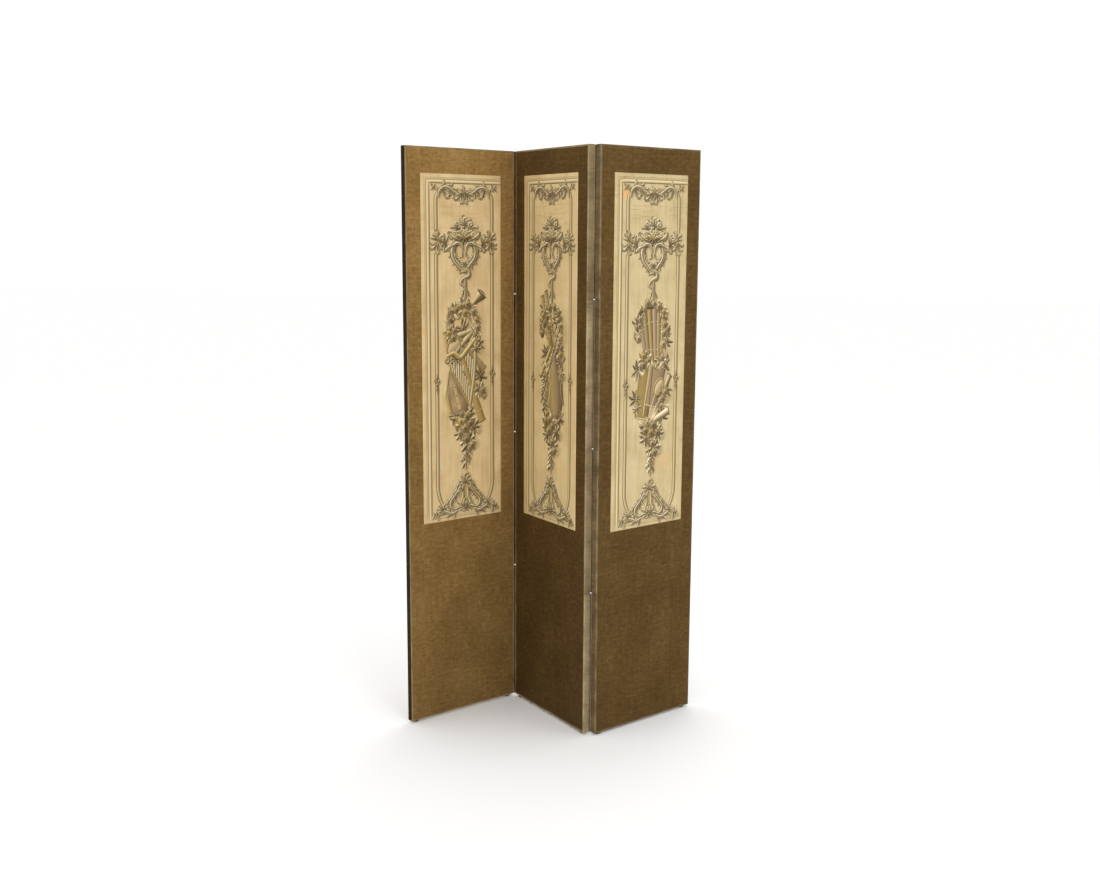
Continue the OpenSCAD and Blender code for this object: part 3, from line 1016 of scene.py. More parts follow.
    def leaf(self, base, heading, length, width, layer=8, tone=0.42, bend=0.0, lobes=2):
        """An acanthus leaf with a curling tip: lobed edges, a dark midrib, one half lit and one in shade."""
        path = curling_path(base, heading, length, (bend * 0.3, bend * 0.9, bend * 1.9),
                            length / (4 * lobes + 2))
        share = np.linspace(0, 1, len(path))
        swell = width * np.sin(np.pi * (0.06 + 0.90 * share ** 0.8)) ** 0.8
        left, right = (swell * (1 - 0.42 * np.abs(np.cos(lobes * np.pi * share + phase)))
                       for phase in (0, 0.9))
        tones = tone + 0.40 * np.sign(LEAF) * (lit(path) + 0.10) * (1 - 0.25 * np.abs(LEAF))
        veins = -0.20 * np.cos(2 * lobes * np.pi * share)[:, None] * np.abs(LEAF)
        tones = tones + veins + 0.14 * share[:, None]
        tones[:, np.abs(LEAF) < 0.1] -= 0.20
        self.shadow(path, left, right)
        self.lay(path, left, right, LEAF, tones, layer, outline=0.28, crown=0.14)

    def petal(self, base, heading, length, width, layer, tone, palette):
        path = curling_path(base, heading, length, (0, 0), length / 3)
        share = np.linspace(0, 1, len(path))
        half = width * np.sin(np.pi * (0.12 + 0.80 * share)) ** 0.7
        tones = tone + 0.22 * (way_of(heading) @ SUN) + 0.26 * share[:, None] + 0.08 * (1 - PETAL ** 2)
        tones[0] -= 0.20
        tones[-1] *= 0.72
        self.lay(path, half, half, PETAL, tones, layer, palette, 0.40)

    def flower(self, at, radius, layer, tone, palette="grey"):
        """An open rose: a ring of broad petals, a smaller ring over it, and a dark eye."""
        spin = self.rng.uniform(0, 360)
        blot = at + np.array([(-0.8, 0), (-0.8, 0), (0, 0), (0, 0), (0.8, 0)]) * radius
        half = np.full(5, radius)
        self.shadow(blot + np.linspace(0, 1, 5)[:, None], half, half, strength=0.45)
        for ring, (count, reach, wide, lift) in enumerate(((6, 1.0, 0.52, 0.0), (5, 0.62, 0.40, 0.08))):
            for k in range(count):
                heading = spin + 360 * (k + 0.5 * ring) / count
                base = at + way_of(heading) * radius * 0.16
                self.petal(base, heading, radius * reach * 0.86, radius * wide, layer + 2 * ring,
                           tone + lift, palette)
        self.berry(at, radius * 0.22, layer + 5, 0.20, palette)

    def berry(self, at, radius, layer=12, tone=0.55, palette="grey"):
        """A small round bead of paint with a light on its upper left."""
        share = np.linspace(-1, 1, 6)
        path = at + np.stack([share * radius * 0.96, share * 0], -1)
        half = radius * np.sqrt(np.clip(1 - share ** 2, 0.03, 1))
        spots = path[:, None] + np.stack([np.zeros_like(ROUND), ROUND], -1)[None] * half[:, None, None]
        tones = tone + 0.40 * ((spots - at) @ SUN / radius)
        tones[[0, -1]] *= 0.6
        self.lay(path, half, half, ROUND, tones, layer, palette, 0.45, crown=0.14)

    def scroll(self, start, heading, length, turns, width, layer, palette="grey"):
        """A tapering scroll that ends in a rolled bead."""
        path = curling_path(start, heading, length, turns)
        self.stroke(path, width, layer, palette=palette)
        self.berry(path[-1], max(1.6, width[-1] * 1.5), layer + 1, 0.5, palette)

    def sprig(self, path, size, every, layer, flip=1):
        """Leaves on both sides of a stem."""
        walked = np.concatenate([[0], np.cumsum(np.linalg.norm(np.diff(path, axis=0), axis=1))])
        for k, distance in enumerate(np.arange(every * 0.5, walked[-1], every)):
            at, ahead = (np.array([np.interp(distance + more, walked, path[:, c]) for c in (0, 1)])
                         for more in (0, 1))
            way = flip if k % 2 else -flip
            grown = size * self.rng.uniform(0.8, 1.15)
            heading = heading_of(ahead - at + (1e-6, 0)) + way * self.rng.uniform(38, 68)
            self.leaf(at, heading, grown, grown * self.rng.uniform(0.36, 0.46), layer + k % 3,
                      self.rng.uniform(0.36, 0.58), -way * 40)

    def posy(self, at, radius, flowers, leaves, layer):
        """A bunch: a ring of leaves, and flowers packed over them."""
        at = np.asarray(at, float)
        share = np.linspace(-1, 1, 16)
        reach = radius * 1.05 * np.sqrt(np.clip(1 - share ** 2, 0.1, 1))
        self.shadow(at + np.stack([share * 0, share * radius * 0.9], -1), reach, reach, (11, 8), 0.5, 0.2)
        start = self.rng.uniform(0, 360)
        for k in range(leaves):
            heading = start + 360 * k / leaves + self.rng.uniform(-14, 14)
            grown = radius * self.rng.uniform(0.75, 1.0)
            bend = self.rng.uniform(-50, 50)
            self.leaf(at + way_of(heading) * radius * 0.30, heading, grown * 0.92, grown * 0.44,
                      layer - 5 + k % 3, self.rng.uniform(0.34, 0.56), bend)
        for k in range(flowers):
            spot = at + radius * 0.50 * (flowers > 1) * way_of(start + 360 * k / flowers)
            self.flower(spot, radius * self.rng.uniform(0.40, 0.50), layer + k % 2,
                        self.rng.uniform(0.14, 0.28), "ochre" if k % 3 == 2 else "grey")

    def ribbon(self, points, width, layer=12):
        """A painted ribbon whose light comes and goes as it twists."""
        widths = [width * share for share in (1.0, 0.55, 1.0, 0.55, 1.0)]
        self.curve(points, widths, layer, 0.56, 0.22, along=(0.24, -0.24, 0.24, -0.24, 0.24))

    def finish(self):
        points = np.concatenate(self.points) + ((PANEL_W - PICTURE_W) / 2, 0, PICTURE_TOP)
        make_piece(self.panel, f"{self.panel.name}_painting", points, self.faces,
                   picture_look(self.panel, painted=True),
                   colours={"paint": np.concatenate(self.paint)}, smooth=False)


def paint_mouldings(art):
    """An outer moulding along the left and top, and an inner one with curved ends round the ornament."""
    fine = {"throws": False, "crown": 0.05}
    for inset, width, tone in ((13.0, 0.8, 0.48), (18.5, 2.0, 0.52), (24.5, 3.8, 0.76), (30.6, 2.0, 0.24)):
        for end, count in (((inset, 1068 - inset * 0.35), 60), ((298, inset * 0.9), 20)):
            art.line((inset, inset * 0.9), end, count, width, 2, tone, 0.14, 0.85, alpha=0.85, **fine)
    for _ in range(9):
        crack = np.array([art.rng.uniform(46, 190), art.rng.uniform(92, 134)])
        middle = crack + (22, art.rng.uniform(-1.5, 1.5))
        end = crack + (art.rng.uniform(34, 70), art.rng.uniform(-2, 2))
        art.curve((crack, middle, end), (0.3, 0.9, 0.3), 1, 0.42, 0.1, 1, alpha=0.45, **fine)
    for y, width, tone in ((1054, 1.0, 0.5), (1060, 1.4, 0.36)):
        art.line((24, y), (296, y), 20, width, 2, tone, 0.1, 0.85, alpha=0.6, **fine)
    upper = [(22, 54), (8, 58), (2, 68), (0, 84), (0, 130), (0.6, 176)]
    lower = [(8, 226), (2, 242), (0, 262), (0, 520), (0, 780), (0, 952), (2, 978), (8, 1000), (16, 1016),
             (20, 1030)]
    for way in (1, -1):
        x = CENTRE - way * MOULDING_HALF
        for points, step in ((upper, 6), (lower, 8)):
            path = smooth_path([(x + way * inward, y) for inward, y in points], step)
            for offset, width, tone in ((-5.6, 1.5, 0.24), (0, 4.6, 0.62), (5.6, 1.9, 0.30)):
                art.stroke(path + (offset, 0), width, 3, tone, 0.34, 0.7, alpha=0.92, **fine)
        bud_y = 632 + 6 * way
        for heading, length in ((-90, 34), (-58, 20), (-122, 20)):
            art.leaf((x, bud_y), heading, length, 6.5, 9)
        art.leaf((x, bud_y - 2), 90, 34, 5.4)
        art.berry((x, bud_y), 5.6, 14, 0.5)


def paint_top_garland(art):
    """Two broad acanthus branches that sweep from the corners down to a knot with hanging curls."""
    branch = [(64, 72), (68, 52), (84, 40), (104, 42), (124, 54), (146, 62)]
    for path, flip in art.curve_both(branch, (4.0, 6.4, 7.4, 7.0, 6.0, 3.6), 12, 0.40, flutes=0.16):
        art.ruffle(path, 24, 5, flip, 3, 9, 24, width=0.26)
        art.ruffle(path[len(path) // 4:], 24, 4, -flip, 3, 9, width=0.26)
    art.both(art.plume, (80, 46), 64, 38, 8.0, 13, bend=-80)
    art.both(art.plume, (110, 48), 112, 34, 7.5, 13, bend=90)
    art.both(art.fan, (148, 58), 112, 100, 36, 4, 12)
    art.both(art.plume, (154, 54), 82, 44, 6.5, 14, bend=-110)
    art.fan((CENTRE, 56), -90, 150, 24, 5, 14, 0.40)
    art.berry((CENTRE, 54), 5, 19, 0.5)
    for side in (-1, 1):
        knot = (CENTRE + side * 113, 40)
        for k, heading in enumerate((-130, -50, 40, 140)):
            art.leaf(knot, heading, 14, 5.0, 10 + k % 2)
        art.berry(knot, 4.4, 15, 0.5)


def paint_crest(art):
    """A bushy crest over a heart of two fluted scrolls, with acanthus arms that reach the mouldings."""
    for k in range(12):
        art.leaf((CENTRE, 176), 30 * k, 44, 9, 4 + k % 2, 0.10, 40, 3)
    art.both(art.fan, (136, 166), -132, 170, 34, 6, 8)
    art.fan((CENTRE + 1, 158), -88, 170, 38, 7, 9)
    art.both(art.fan, (141, 190), -168, 130, 34, 5, 10)
    art.both(art.fan, (152, 186), -118, 90, 34, 4, 13, 0.40)
    art.fan((CENTRE, 196), -90, 90, 36, 4, 15, 0.40, "ochre")
    for dx, y, way in ((-24, 146, -1), (22, 148, 1), (2, 134, 1), (-34, 176, -1), (34, 178, 1)):
        curl = curling_path((CENTRE + dx - way * 6, y + 6), -90 + way * 10, 34, (way * 120, way * 620))
        art.stroke(curl, (2.6, 4.0, 3.4, 2.0), 18, 0.58, 0.5)
    for dx, y in ((-11, 170), (12, 168), (1, 176), (-2, 158), (-18, 184), (19, 182)):
        art.berry((CENTRE + dx, y), 3.6, 19, 0.62)

    heart = [(153, 236), (150, 217), (138, 207), (122, 213), (115, 233), (121, 255), (138, 274), (156, 292)]
    widths = (3.4, 6.5, 9.5, 11.0, 11.0, 10.5, 8.5, 5.0)
    for path, flip in art.curve_both(heart, widths, 12, 0.38, flutes=0.20):
        art.ruffle(path[len(path) // 4:], 27, 7, flip, 6, spread=16, bend=80)
        art.ruffle(path[len(path) // 3:], 17, 5, -flip, 6, spread=24, bend=100)
    art.both(art.plume, (153, 234), 96, 22, 5.5, 14, bend=130)
    art.fan((CENTRE, 268), 90, 150, 26, 5, 15)

    art.both(art.plume, (148, 204), 200, 60, 12.0, 12, bend=60, lobes=4)
    art.both(art.plume, (136, 212), 172, 54, 10.0, 13, bend=-70, lobes=4)
    art.both(art.fan, (92, 208), 180, 190, 36, 6, 11)
    art.both(art.fan, (60, 200), -84, 120, 34, 5, 13)
    art.both(art.fan, (58, 206), 92, 130, 36, 5, 13)
    art.both(art.fan, (74, 204), 190, 110, 24, 4, 15, palette="ochre")
    for side in (-1, 1):
        art.berry((CENTRE + side * 101, 204), 5.0, 19, 0.5)


def paint_stem(art):
    """The S scroll and the thick stem that the trophy hangs from."""
    s_curl = [(163, 286), (175, 292), (176, 306), (163, 312), (151, 318), (145, 330), (155, 338)]
    art.curve(s_curl, (4.0, 7.5, 8.0, 7.0, 6.5, 4.0), 14, flutes=0.12)
    art.berry(s_curl[-1], 5.0, 16)
    art.plume((169, 298), 200, 26, 5.5, 16, bend=-90)
    art.curve([(163, 310), (162, 345), (162, 392)], (5.4, 5.6, 5.4), 13, 0.42, flutes=0.10)
    art.leaf((157, 344), 106, 34, 6.5, 16, bend=20, lobes=3)
    art.leaf((167, 348), 72, 28, 6, 16, bend=-20, lobes=3)


def paint_wreath(art, middle, radius_x, radius_y, start, sweep, flowers, layer):
    """Leaves and flowers along part of an oval."""
    angles = np.radians(np.linspace(start, start + sweep, 40))
    path = np.stack([middle[0] + radius_x * np.cos(angles), middle[1] + radius_y * np.sin(angles)], -1)
    art.stroke(path, 5.0, layer - 4, 0.20)
    art.sprig(path, 24, 8.5, layer - 3)
    art.sprig(path, 20, 9.5, layer - 1, -1)
    for k in range(flowers):
        at = path[int((k + 0.5) / flowers * (len(path) - 1))] + art.rng.uniform(-4, 4, 2)
        art.flower(at, 11.0 if k % 2 else 14.5, layer + 3, art.rng.uniform(0.16, 0.30),
                   "ochre" if k % 4 == 3 else "grey")


def paint_backing(art, spots):
    """Dark leaves behind a trophy, and the broad shadow that it throws to its right."""
    shade = smooth_path([(172, 372), (184, 470), (180, 600), (184, 745)])
    count = len(shade)
    art.shadow(shade, np.full(count, 58.0), np.full(count, 50.0), (8, 8), 0.30, 0.0)
    for spot in spots:
        spin = art.rng.uniform(0, 360)
        for k in range(8):
            heading = spin + 45 * k + art.rng.uniform(-12, 12)
            length = 34 * art.rng.uniform(0.8, 1.15)
            bend = art.rng.uniform(-60, 60)
            art.leaf(spot, heading, length, 7.6, 3 + k % 3, art.rng.uniform(0.20, 0.34), bend, 3)


def paint_hoop(art, middle, radius, squash, turn, layer):
    """A hand drum seen at an angle: its skin, and a ring with dark pins."""
    angles = np.radians(np.linspace(0, 360, 36))
    ring = np.stack([radius * np.cos(angles), radius * squash * np.sin(angles)], -1)
    bar = way_of(turn)
    ring = ring @ np.array([bar, (-bar[1], bar[0])]) + middle
    share = np.linspace(-0.96, 0.96, 12)
    skin = np.asarray(middle) + share[:, None] * bar * radius
    art.stroke(skin, radius * squash * np.sqrt(1 - share ** 2), layer, 0.58, 0.22, 0.8, "rose", taper=BLUNT)
    art.stroke(ring, 4.2, layer + 1, 0.38, palette="ochre", taper=BLUNT)
    for k in range(0, 36, 6):
        art.berry(ring[k], 2.0, layer + 3, 0.08)


def paint_tube(art, start, end, width, layer, palette="grey", tone=0.46, rings=3):
    """A wooden pipe or a rolled sheet: a straight round bar with rings round it."""
    start, end = np.asarray(start, float), np.asarray(end, float)
    art.line(start, end, 12, width, layer, tone, 0.50, palette=palette, taper=BLUNT)
    way = (end - start) / np.linalg.norm(end - start)
    across = np.array([-way[1], way[0]])
    first, last = width
    for k in range(rings):
        share = (k + 0.5) / rings
        at = start + (end - start) * share
        reach = (first + (last - first) * share) * 1.15
        art.line(at - across * reach, at + across * reach, 5, 2.0, layer + 1, 0.60, 0.3, throws=False)
    art.line(end - across * last * 1.2, end + across * last * 1.2, 5, 3.0, layer + 1, 0.24)


def paint_horn(art, tip, bell, sag, bell_width, layer):
    """A natural horn seen from the side, with an open bell."""
    tip, bell = np.asarray(tip, float), np.asarray(bell, float)
    way = (bell - tip) / np.linalg.norm(bell - tip)
    across = np.array([-way[1], way[0]])
    path = smooth_path([tip, (tip + bell) / 2 + across * sag, bell])
    art.stroke(path, (2.4, 3.2, 4.6, 7.0, 12, bell_width), layer, swing=0.50, palette="ochre", taper=(0.5, 1))
    underside = path[len(path) // 2:] + (1.5, 2.5)
    art.stroke(underside, (1.5, 3.0, 5.0), layer + 2, 0.22, outline=1.2, throws=False)
    mouth = np.linspace(bell - across * bell_width * 1.05, bell + across * bell_width * 1.05, 10)
    art.stroke(mouth, (1.8, 6.6, 8.0, 6.6, 1.8), layer + 3, 0.14, 0.12, 2.6)
    art.stroke(mouth + way * 2.4, (0.8, 1.8, 0.8), layer + 4, 0.86, throws=False)


def paint_harp(art):
    """A frame harp leaning left: a broad sound box, a curved neck, a pillar and its strings."""
    foot, head, shoulder = np.array([132.0, 740]), np.array([204.0, 502]), np.array([88.0, 562])
    art.curve([(100, 604), (116, 664), (140, 728)], (11, 25, 38), 11, 0.42, 0.34, palette="rose", taper=BLUNT,
              crown=0.10, along=(-0.1, 0.1, -0.06, 0.08, -0.12))
    art.curve([(112, 640), (124, 680), (136, 720)], (5, 9, 12), 12, 0.60, 0.1, 0.9, "ochre", throws=False,
              crown=0.12)
    art.curve([(92, 600), (84, 664), (102, 736)], (3.6, 4.6, 5.4), 13, palette="ochre")
    art.curve([(106, 600), (144, 660), (184, 720)], (3.6, 4.8, 5.4), 13, palette="ochre")
    art.curve([(102, 734), (134, 754), (186, 722)], (3.6, 6.4, 3.6), 14, palette="ochre")
    for k in range(3):
        art.berry((116 + 6 * k, 650 + 26 * k), 2.6, 15, 0.12)
    strings = 10
    for k in range(strings):
        share = k / (strings - 1)
        top = shoulder + (head - shoulder) * (0.08 + 0.86 * share) + (0, 10 * math.sin(math.pi * share))
        string = np.linspace(top, np.array([112.0, 622]) + np.array([68.0, 94]) * share, 7)
        art.stroke(string, 1.5, 12, 0.86, 0.2, 0.6, crown=0.03, throws=False)
        art.stroke(string + (3.0, 0.8), 1.5, 11, 0.08, 0.0, 1, crown=0.02, throws=False)
    art.curve([shoulder + (-8, -8), (112, 544), (140, 558), (168, 536), head + (10, -10)],
              (5.0, 8.4, 9.0, 8.6, 6.4), 15, 0.52, palette="ochre")
    art.curve([head, (199, 610), (178, 720)], (7.0, 6.6, 6.0), 14, 0.54)
    art.scroll(shoulder + (-6, -4), 140, 44, (-320, -460), (5.4, 5.0, 3.0), 16)
    art.scroll(head + (4, -6), -40, 44, (300, 460), (5.4, 5.0, 3.0), 16)
    art.leaf(foot + (-6, 6), 165, 36, 9, 15, bend=60, lobes=3)


def paint_left_trophy(art):
    """Harp, horn, drum, pipes and a bow under a wreath."""
    paint_backing(art, ((100, 500), (212, 520), (118, 560), (222, 620), (176, 740), (118, 738), (150, 470)))
    paint_hoop(art, (112, 524), 30, 0.72, -35, 9)
    paint_tube(art, (92, 560), (78, 478), (7, 10), 7, "ochre")
    paint_tube(art, (122, 540), (196, 478), (10, 13), 8, rings=2)
    paint_tube(art, (90, 448), (150, 540), (9, 14), 6, "rose", rings=2)
    paint_tube(art, (214, 470), (100, 500), (9, 12), 7, rings=2)
    paint_tube(art, (110, 470), (240, 600), (8, 13), 6, tone=0.44)
    paint_tube(art, (150, 560), (232, 764), (8, 15), 7, "ochre")
    paint_tube(art, (150, 600), (246, 690), (6, 10), 6)
    paint_horn(art, (146, 470), (232, 362), -12, 22, 8)
    art.curve([(84, 424), (106, 520), (84, 650)], 2.8, 8, palette="ochre")
    art.curve([(84, 640), (76, 676), (92, 720)], (3, 9, 4), 9, 0.6, palette="ochre")
    paint_harp(art)
    paint_wreath(art, (154, 462), 58, 66, 170, 230, 10, 12)
    art.posy((158, 404), 32, 3, 10, 17)
    art.posy((112, 412), 24, 2, 8, 16)
    art.posy((106, 484), 27, 3, 9, 17)
    art.posy((206, 534), 22, 1, 8, 16)
    art.ribbon([(160, 408), (132, 436), (110, 422), (88, 446), (76, 436)], 6.6)
    art.ribbon([(168, 414), (186, 446), (214, 456), (226, 492)], 6.2)
    art.posy((222, 664), 26, 2, 9, 16)
    art.posy((150, 748), 22, 2, 9, 18)


def paint_lute(art):
    """A stringed instrument seen from its round back: a pear-shaped bowl of staves under a bent neck."""
    bowl = smooth_path([(168, 500), (175, 560), (184, 640), (189, 700), (189, 740)], 4)
    outline = (8, 12, 18, 26, 34, 42, 48, 50, 46, 34, 14)
    art.stroke(bowl, outline, 10, 0.32, 0.30, 0.2, "rose", taper=(1, 0.8), crown=0.04,
               along=(-0.04, 0.04, 0.06, 0.04, 0.0, -0.10))
    staves = ((-0.62, 0.17, 0.24), (-0.34, 0.14, 0.40), (-0.08, 0.13, 0.30), (0.20, 0.12, 0.20))
    for shift, share, tone in staves:
        widths = [max(1.0, share * width) for width in outline[1:-1]]
        offsets = between(outline, np.linspace(0, 1, len(bowl))) * shift
        stave = bowl + offsets[:, None] * (1, 0)
        art.stroke(stave[3:-3], widths, 15, tone, 0.20, 0.8, "ochre", 0.7, taper=BLUNT, throws=False,
                   crown=0.02)
    art.curve([(150, 452), (160, 500), (170, 540)], (5.4, 6.4, 9.0), 16, 0.26, palette="ochre")
    art.scroll((150, 456), 250, 44, (260, 620), (6.4, 5.6, 3.4), 17, "ochre")
    for k in range(4):
        at = np.array([152 + 1.6 * k, 466 + 9 * k])
        art.line(at, at + (-17 if k % 2 else 17, -3), 4, (2.0, 3.4), 15, throws=False)
    cord = [(176, 520), (150, 580), (156, 640), (140, 700)]
    art.curve(cord, (2.0, 2.6, 2.0), 19, 0.66, 0.3, palette="ochre")
    art.curve([(214, 536), (228, 600), (222, 650), (236, 690)], (2.6, 4.0, 3.0), 18, 0.42)
    art.curve([(150, 742), (186, 756), (222, 734), (240, 716)], (2.6, 4.4, 3.4), 18, 0.34)


def paint_middle_trophy(art):
    """Lute, bow, drum, flutes and a sprig, under a wreath."""
    paint_backing(art, ((118, 410), (200, 440), (126, 540), (216, 560), (120, 660), (212, 740), (150, 470)))
    paint_hoop(art, (196, 508), 30, 0.74, 40, 8)
    paint_tube(art, (150, 520), (104, 366), (8, 11), 6, "ochre")
    paint_tube(art, (184, 520), (126, 350), (7, 10), 7)
    paint_tube(art, (204, 500), (108, 650), (8, 11), 6, tone=0.42)
    paint_tube(art, (186, 486), (92, 616), (7, 10), 7, "ochre")
    paint_tube(art, (120, 470), (236, 560), (8, 12), 8, "rose")
    art.curve([(218, 450), (160, 560), (96, 700)], 2.8, 21, 0.22, palette="ochre")
    art.line((224, 458), (104, 702), 12, 1.2, 21, 0.70, throws=False)
    paint_lute(art)
    paint_wreath(art, (160, 466), 60, 68, 160, 290, 10, 10)
    art.posy((120, 436), 29, 3, 9, 15)
    art.posy((206, 424), 24, 2, 8, 15)
    art.posy((214, 528), 28, 3, 9, 15)
    art.posy((126, 618), 22, 2, 8, 15)
    art.posy((136, 744), 27, 3, 9, 18)
    art.posy((222, 600), 20, 1, 8, 15)
    art.ribbon([(166, 404), (190, 436), (212, 422), (236, 450)], 6.0)
    art.ribbon([(160, 560), (132, 582), (118, 566), (94, 592)], 5.8)
    art.sprig(smooth_path([(134, 600), (120, 660), (128, 730)]), 29, 8, 9)
    art.sprig(smooth_path([(128, 610), (112, 650), (116, 710)]), 24, 9, 11)


def paint_folder(art, corners, palette, layer):
    """A flat folder drawn as a slanting board with a lit edge, ruled lines and a shaded side."""
    a, b, c, d = np.asarray(corners, float)
    left, right = np.linspace(a, d, 12), np.linspace(b, c, 12)
    half = np.linalg.norm(right - left, axis=1) / 2
    art.stroke((left + right) / 2, half, layer, 0.38, 0.14, 0.4, palette, taper=BLUNT, crown=0.08)
    for share in (0.22, 0.45, 0.70):
        art.line(a + (b - a) * share, d + (c - d) * share, 8, 1.3, layer + 4, 0.16, 0, 1, palette, 0.7,
                 throws=False, crown=0.02)
    for start, end, count, width, tone in ((a, d, 10, 2.2, 0.58), (b, c, 10, 2.4, 0.10), (a, b, 8, 2.2, 0.54),
                                           (d, c, 8, 2.6, 0.60)):
        art.line(start, end, count, width, layer + 5, tone, throws=False)


def paint_right_trophy(art):
    """A sheaf of pipes under an arch of flowers, with two folders, a scroll of paper and a drumstick."""
    paint_backing(art, ((100, 450), (224, 500), (96, 580), (222, 570), (88, 670), (210, 730), (228, 650)))
    art.curve([(92, 470), (98, 424), (124, 398), (166, 394)], (5, 8, 9, 7), 13, 0.10, 0.2)
    paint_hoop(art, (196, 640), 28, 0.66, -50, 16)
    pipes = (((104, 430), (138, 562)), ((124, 408), (150, 562)), ((146, 398), (164, 566)),
             ((170, 398), (178, 566)), ((192, 410), (192, 562)), ((212, 430), (204, 556)))
    for k, (top, low) in enumerate(pipes):
        paint_tube(art, low, top, (8.5, 12.5), 7 + k % 3, ("rose", "grey", "ochre")[k % 3], 0.40, 2)
    paint_folder(art, ((108, 552), (168, 558), (146, 738), (84, 728)), "ochre", 9)
    paint_folder(art, ((160, 566), (226, 586), (184, 704), (132, 690)), "rose", 11)
    paint_tube(art, (164, 738), (248, 606), (7.0, 10.5), 13, "rose", rings=2)
    paint_tube(art, (168, 744), (244, 716), (10.0, 13.0), 14, tone=0.62, rings=0)
    art.line((154, 566), (124, 726), 12, (2.6, 3.2), 19, 0.60, palette="ochre")
    art.line((144, 742), (190, 636), 10, (2.6, 2.0), 20, 0.60)
    paint_wreath(art, (160, 468), 64, 86, 160, 240, 11, 11)
    art.posy((130, 556), 32, 3, 10, 18)
    art.posy((200, 560), 26, 2, 9, 18)
    art.posy((214, 664), 27, 3, 9, 18)
    art.posy((96, 700), 18, 1, 7, 18)
    art.posy((226, 470), 24, 2, 8, 17)
    art.ribbon([(158, 560), (184, 584), (214, 566), (250, 582)], 6.4, 20)
    art.ribbon([(150, 562), (124, 596), (100, 588), (82, 616)], 6.2, 20)
    art.ribbon([(104, 742), (140, 756), (166, 738), (204, 702), (246, 700)], 5.8, 20)


def paint_drop(art, lean):
    """The tail of roses and leaves under the trophy, down to a single leaf point."""
    stem = smooth_path([(CENTRE + lean, 735), (167, 780), (165, 830), (161, 890)])
    art.stroke(stem, (3.4, 2.6, 1.8), 6, 0.28)
    upper = stem[:len(stem) // 2]
    art.shadow(upper, np.full(len(upper), 22.0), np.full(len(upper), 34.0), (12, 10), 0.36, 0.0)
    art.posy((CENTRE + lean - 4, 764), 36, 4, 9, 14)
    art.posy((189, 782), 27, 1, 8, 12)
    art.posy((139, 796), 24, 1, 7, 13)
    art.posy((173, 828), 30, 2, 8, 14)
    art.sprig(stem[len(stem) // 2:], 26, 8, 9)
    for heading in (90, 62, 118):
        art.leaf((162, 862), heading, 30, 7.0, 12, lobes=3)
    art.leaf((161, 884), 92, 34, 5.4, 11)


def paint_rocaille(art):
    """The shell work at the foot: a pyramid of scrolls round two openings, and arms to the lower corners."""
    side = [(153, 950), (141, 962), (132, 978), (117, 996), (103, 1012), (104, 1030), (120, 1038),
            (134, 1028), (132, 1016)]
    widths = (4.0, 7.0, 8.5, 9.0, 9.0, 8.0, 6.5, 5.0, 3.0)
    for path, flip in art.curve_both(side, widths, 12, 0.38, flutes=0.18):
        art.ruffle(path[:int(len(path) * 0.66)], 26, 7, -flip, 5, spread=18, bend=-80)
        art.ruffle(path[:int(len(path) * 0.5)], 17, 4, flip, 4)
    opening = [(157, 956), (150, 976), (149, 1000), (142, 1022), (154, 1040)]
    art.curve_both(opening, (4.0, 6.0, 6.5, 5.5, 3.6), 13, flutes=0.16, palette="ochre")
    art.both(art.fan, (150, 980), -160, 120, 26, 4, 14)
    art.fan((CENTRE, 958), -90, 170, 36, 6, 14)
    art.stroke(curling_path((CENTRE - 3, 940), -110, 46, (240, 560)), (5.4, 6.5, 4.6, 2.6), 16)
    art.both(art.fan, (154, 1036), -130, 120, 34, 5, 15)
    art.fan((CENTRE, 1034), 90, 130, 22, 4, 17)
    art.berry((CENTRE, 1034), 5, 19, 0.5)
    arm = [(128, 1042), (108, 1050), (88, 1044), (68, 1036), (52, 1042), (44, 1056)]
    for path, flip in art.curve_both(arm, (5.0, 7.0, 7.0, 6.0, 4.6, 3.0), 12, flutes=0.16):
        art.ruffle(path, 22, 5, -flip, 4, spread=26, bend=-80)
        art.ruffle(path, 20, 5, flip, 4, spread=26)
    art.both(art.fan, (72, 1036), -100, 110, 28, 4, 14)
    art.both(art.fan, (52, 1044), 160, 150, 20, 4, 14)


def add_paintings():
    trophies = ((paint_left_trophy, 6), (paint_middle_trophy, -4), (paint_right_trophy, 0))
    for panel, (paint_trophy, lean) in zip(PANELS.values(), trophies):
        art = Painting(panel)
        paint_mouldings(art)
        paint_top_garland(art)
        paint_crest(art)
        paint_stem(art)
        first = len(art.points)
        paint_trophy(art)
        for block in art.points[first:]:
            block[:, 0] = CENTRE * MM + (block[:, 0] - CENTRE * MM) * TROPHY_SQUEEZE
        paint_drop(art, lean)
        paint_rocaille(art)
        art.finish()


# ---------------------------------------------------------------- looks of the CAD's own parts

def wood_look(name, heading, along, pale, warm, dark):
    """Straight-grained timber with its grain along x or z of the panel's own frame."""
    look = Look(name, roughness=0.6)
    where = look.object_place(heading)
    grain_place = look.moved(where, {"x": (3, 60, 60), "z": (60, 60, 3)}[along])
    rings = look.noise(grain_place, 0.55, 5, 0.6, warp=1.2)
    fibres = look.noise(grain_place, 9, 4, 0.7)
    tone = look.spread(look.sum("MULTIPLY_ADD", fibres, 0.3, rings), 0.35, 0.95)
    look.set("Base Color", look.ramp(tone, stops(dark, warm, pale, 0.35)))
    look.set("Roughness", look.spread(tone, 0, 1, 0.72, 0.5))
    look.set("Normal", look.bump(fibres, 0.0004))
    return look


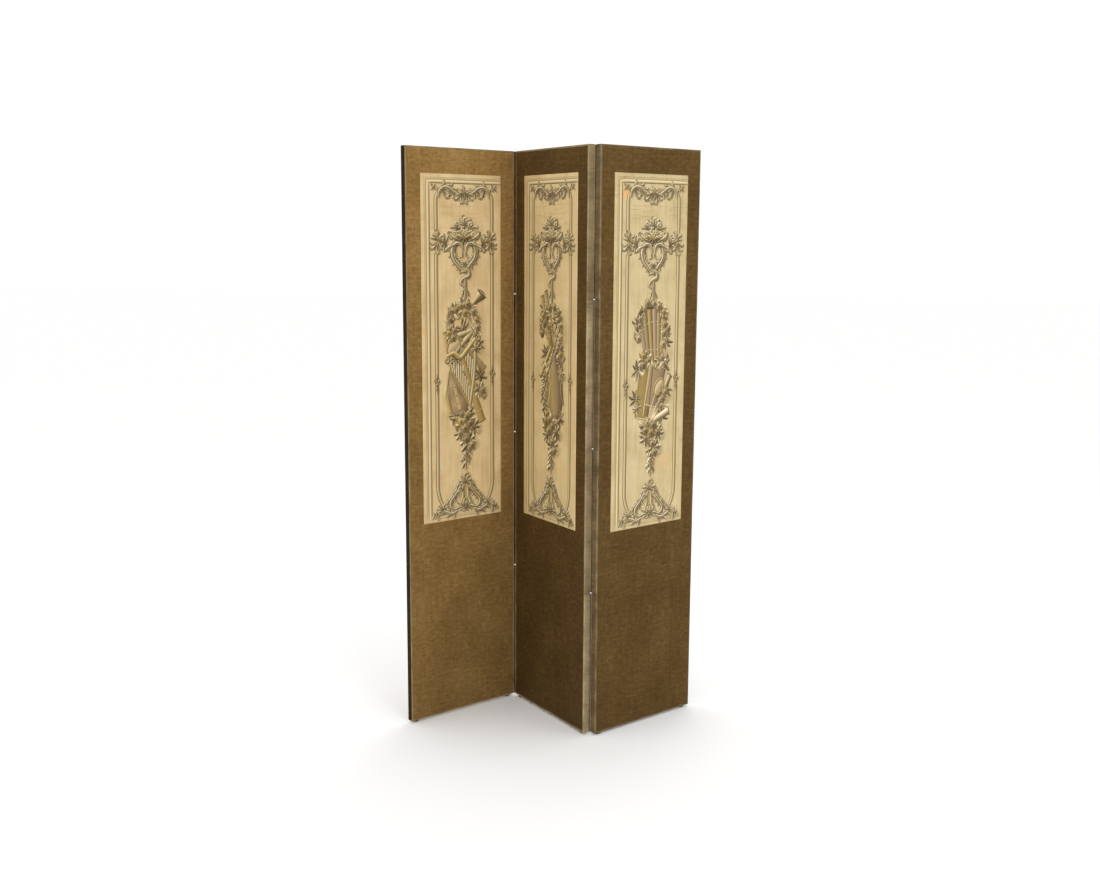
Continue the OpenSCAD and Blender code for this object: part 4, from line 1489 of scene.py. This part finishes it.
def hardboard_look(heading):
    look = Look("hardboard_brown", roughness=0.7)
    where = look.object_place(heading)
    fibres = look.noise(where, 260, 5, 0.75)
    clouds = look.noise(where, 12)
    tone = look.spread(look.sum("MULTIPLY_ADD", clouds, 0.5, fibres), 0.4, 1.1)
    look.set("Base Color", look.ramp(tone, [(0.0, linear(70, 42, 24)), (1.0, linear(128, 88, 54))]))
    look.set("Normal", look.bump(fibres, 0.0003))
    return look


def metal_look(name, bright, dull, tarnish):
    """Plated steel gone dull, with dark specks of tarnish."""
    look = Look(name, roughness=0.4, metallic=1.0)
    where = look.add("ShaderNodeTexCoord", "Object", {})
    clouds = look.noise(where, 120, 4, 0.6)
    scratches = look.streaks(where, (900, 900, 200), 2)
    specks = look.spread(look.noise(where, 650), 0.60, 0.70)
    colour = look.ramp(clouds, [(0.3, dull), (0.7, bright)])
    look.set("Base Color", look.mix(specks, colour, tarnish))
    look.set("Roughness", look.spread(look.sum("ADD", clouds, scratches), 0.7, 1.3, 0.26, 0.6))
    look.set("Normal", look.bump(scratches, 0.00006))
    return look


def finish_cad_parts():
    """Materials for every CAD part that keeps its own shape."""
    pine = (linear(226, 196, 148), linear(206, 166, 112), linear(168, 120, 74))
    beech = (linear(222, 190, 146), linear(206, 166, 120), linear(170, 126, 84))
    glide_metal = metal_look("glide_nickel", linear(150, 144, 132), linear(96, 90, 80), linear(46, 38, 28))
    nail_metal = metal_look("nail_bright", linear(196, 196, 194), linear(150, 148, 144), linear(80, 70, 58))
    for panel in PANELS.values():
        looks = {
            wood_look(f"{panel.name}_stile_pine", panel.heading, "z", *pine): ("left_stile", "right_stile"),
            wood_look(f"{panel.name}_rail_pine", panel.heading, "x", *pine): ("top_rail", "bottom_rail",
                                                                             "cross_rails"),
            wood_look(f"{panel.name}_dowel_beech", panel.heading, "x", *beech): ("dowels",),
            hardboard_look(panel.heading): ("front_board", "back_board"),
            glide_metal: ("glides",),
            nail_metal: ("glide_nails",),
        }
        for look, pieces in looks.items():
            for piece in pieces:
                materials = frame["nodes"][panel.node(piece)].data.materials
                materials.clear()
                materials.append(look.material)


# ---------------------------------------------------------------- the whole screen

add_camera()
add_stage()
for panel in PANELS.values():
    add_cloth_covers(panel, cloth_look(panel))
    # The binding colours carry the panel's painted light or shade
    add_edge_binding(panel, tape_look(f"{panel.name}_binding", *BINDING_WITH_PANEL_LIGHT[panel.name]))
    add_picture_sheet(panel)
add_paintings()
add_hinges()
finish_cad_parts()
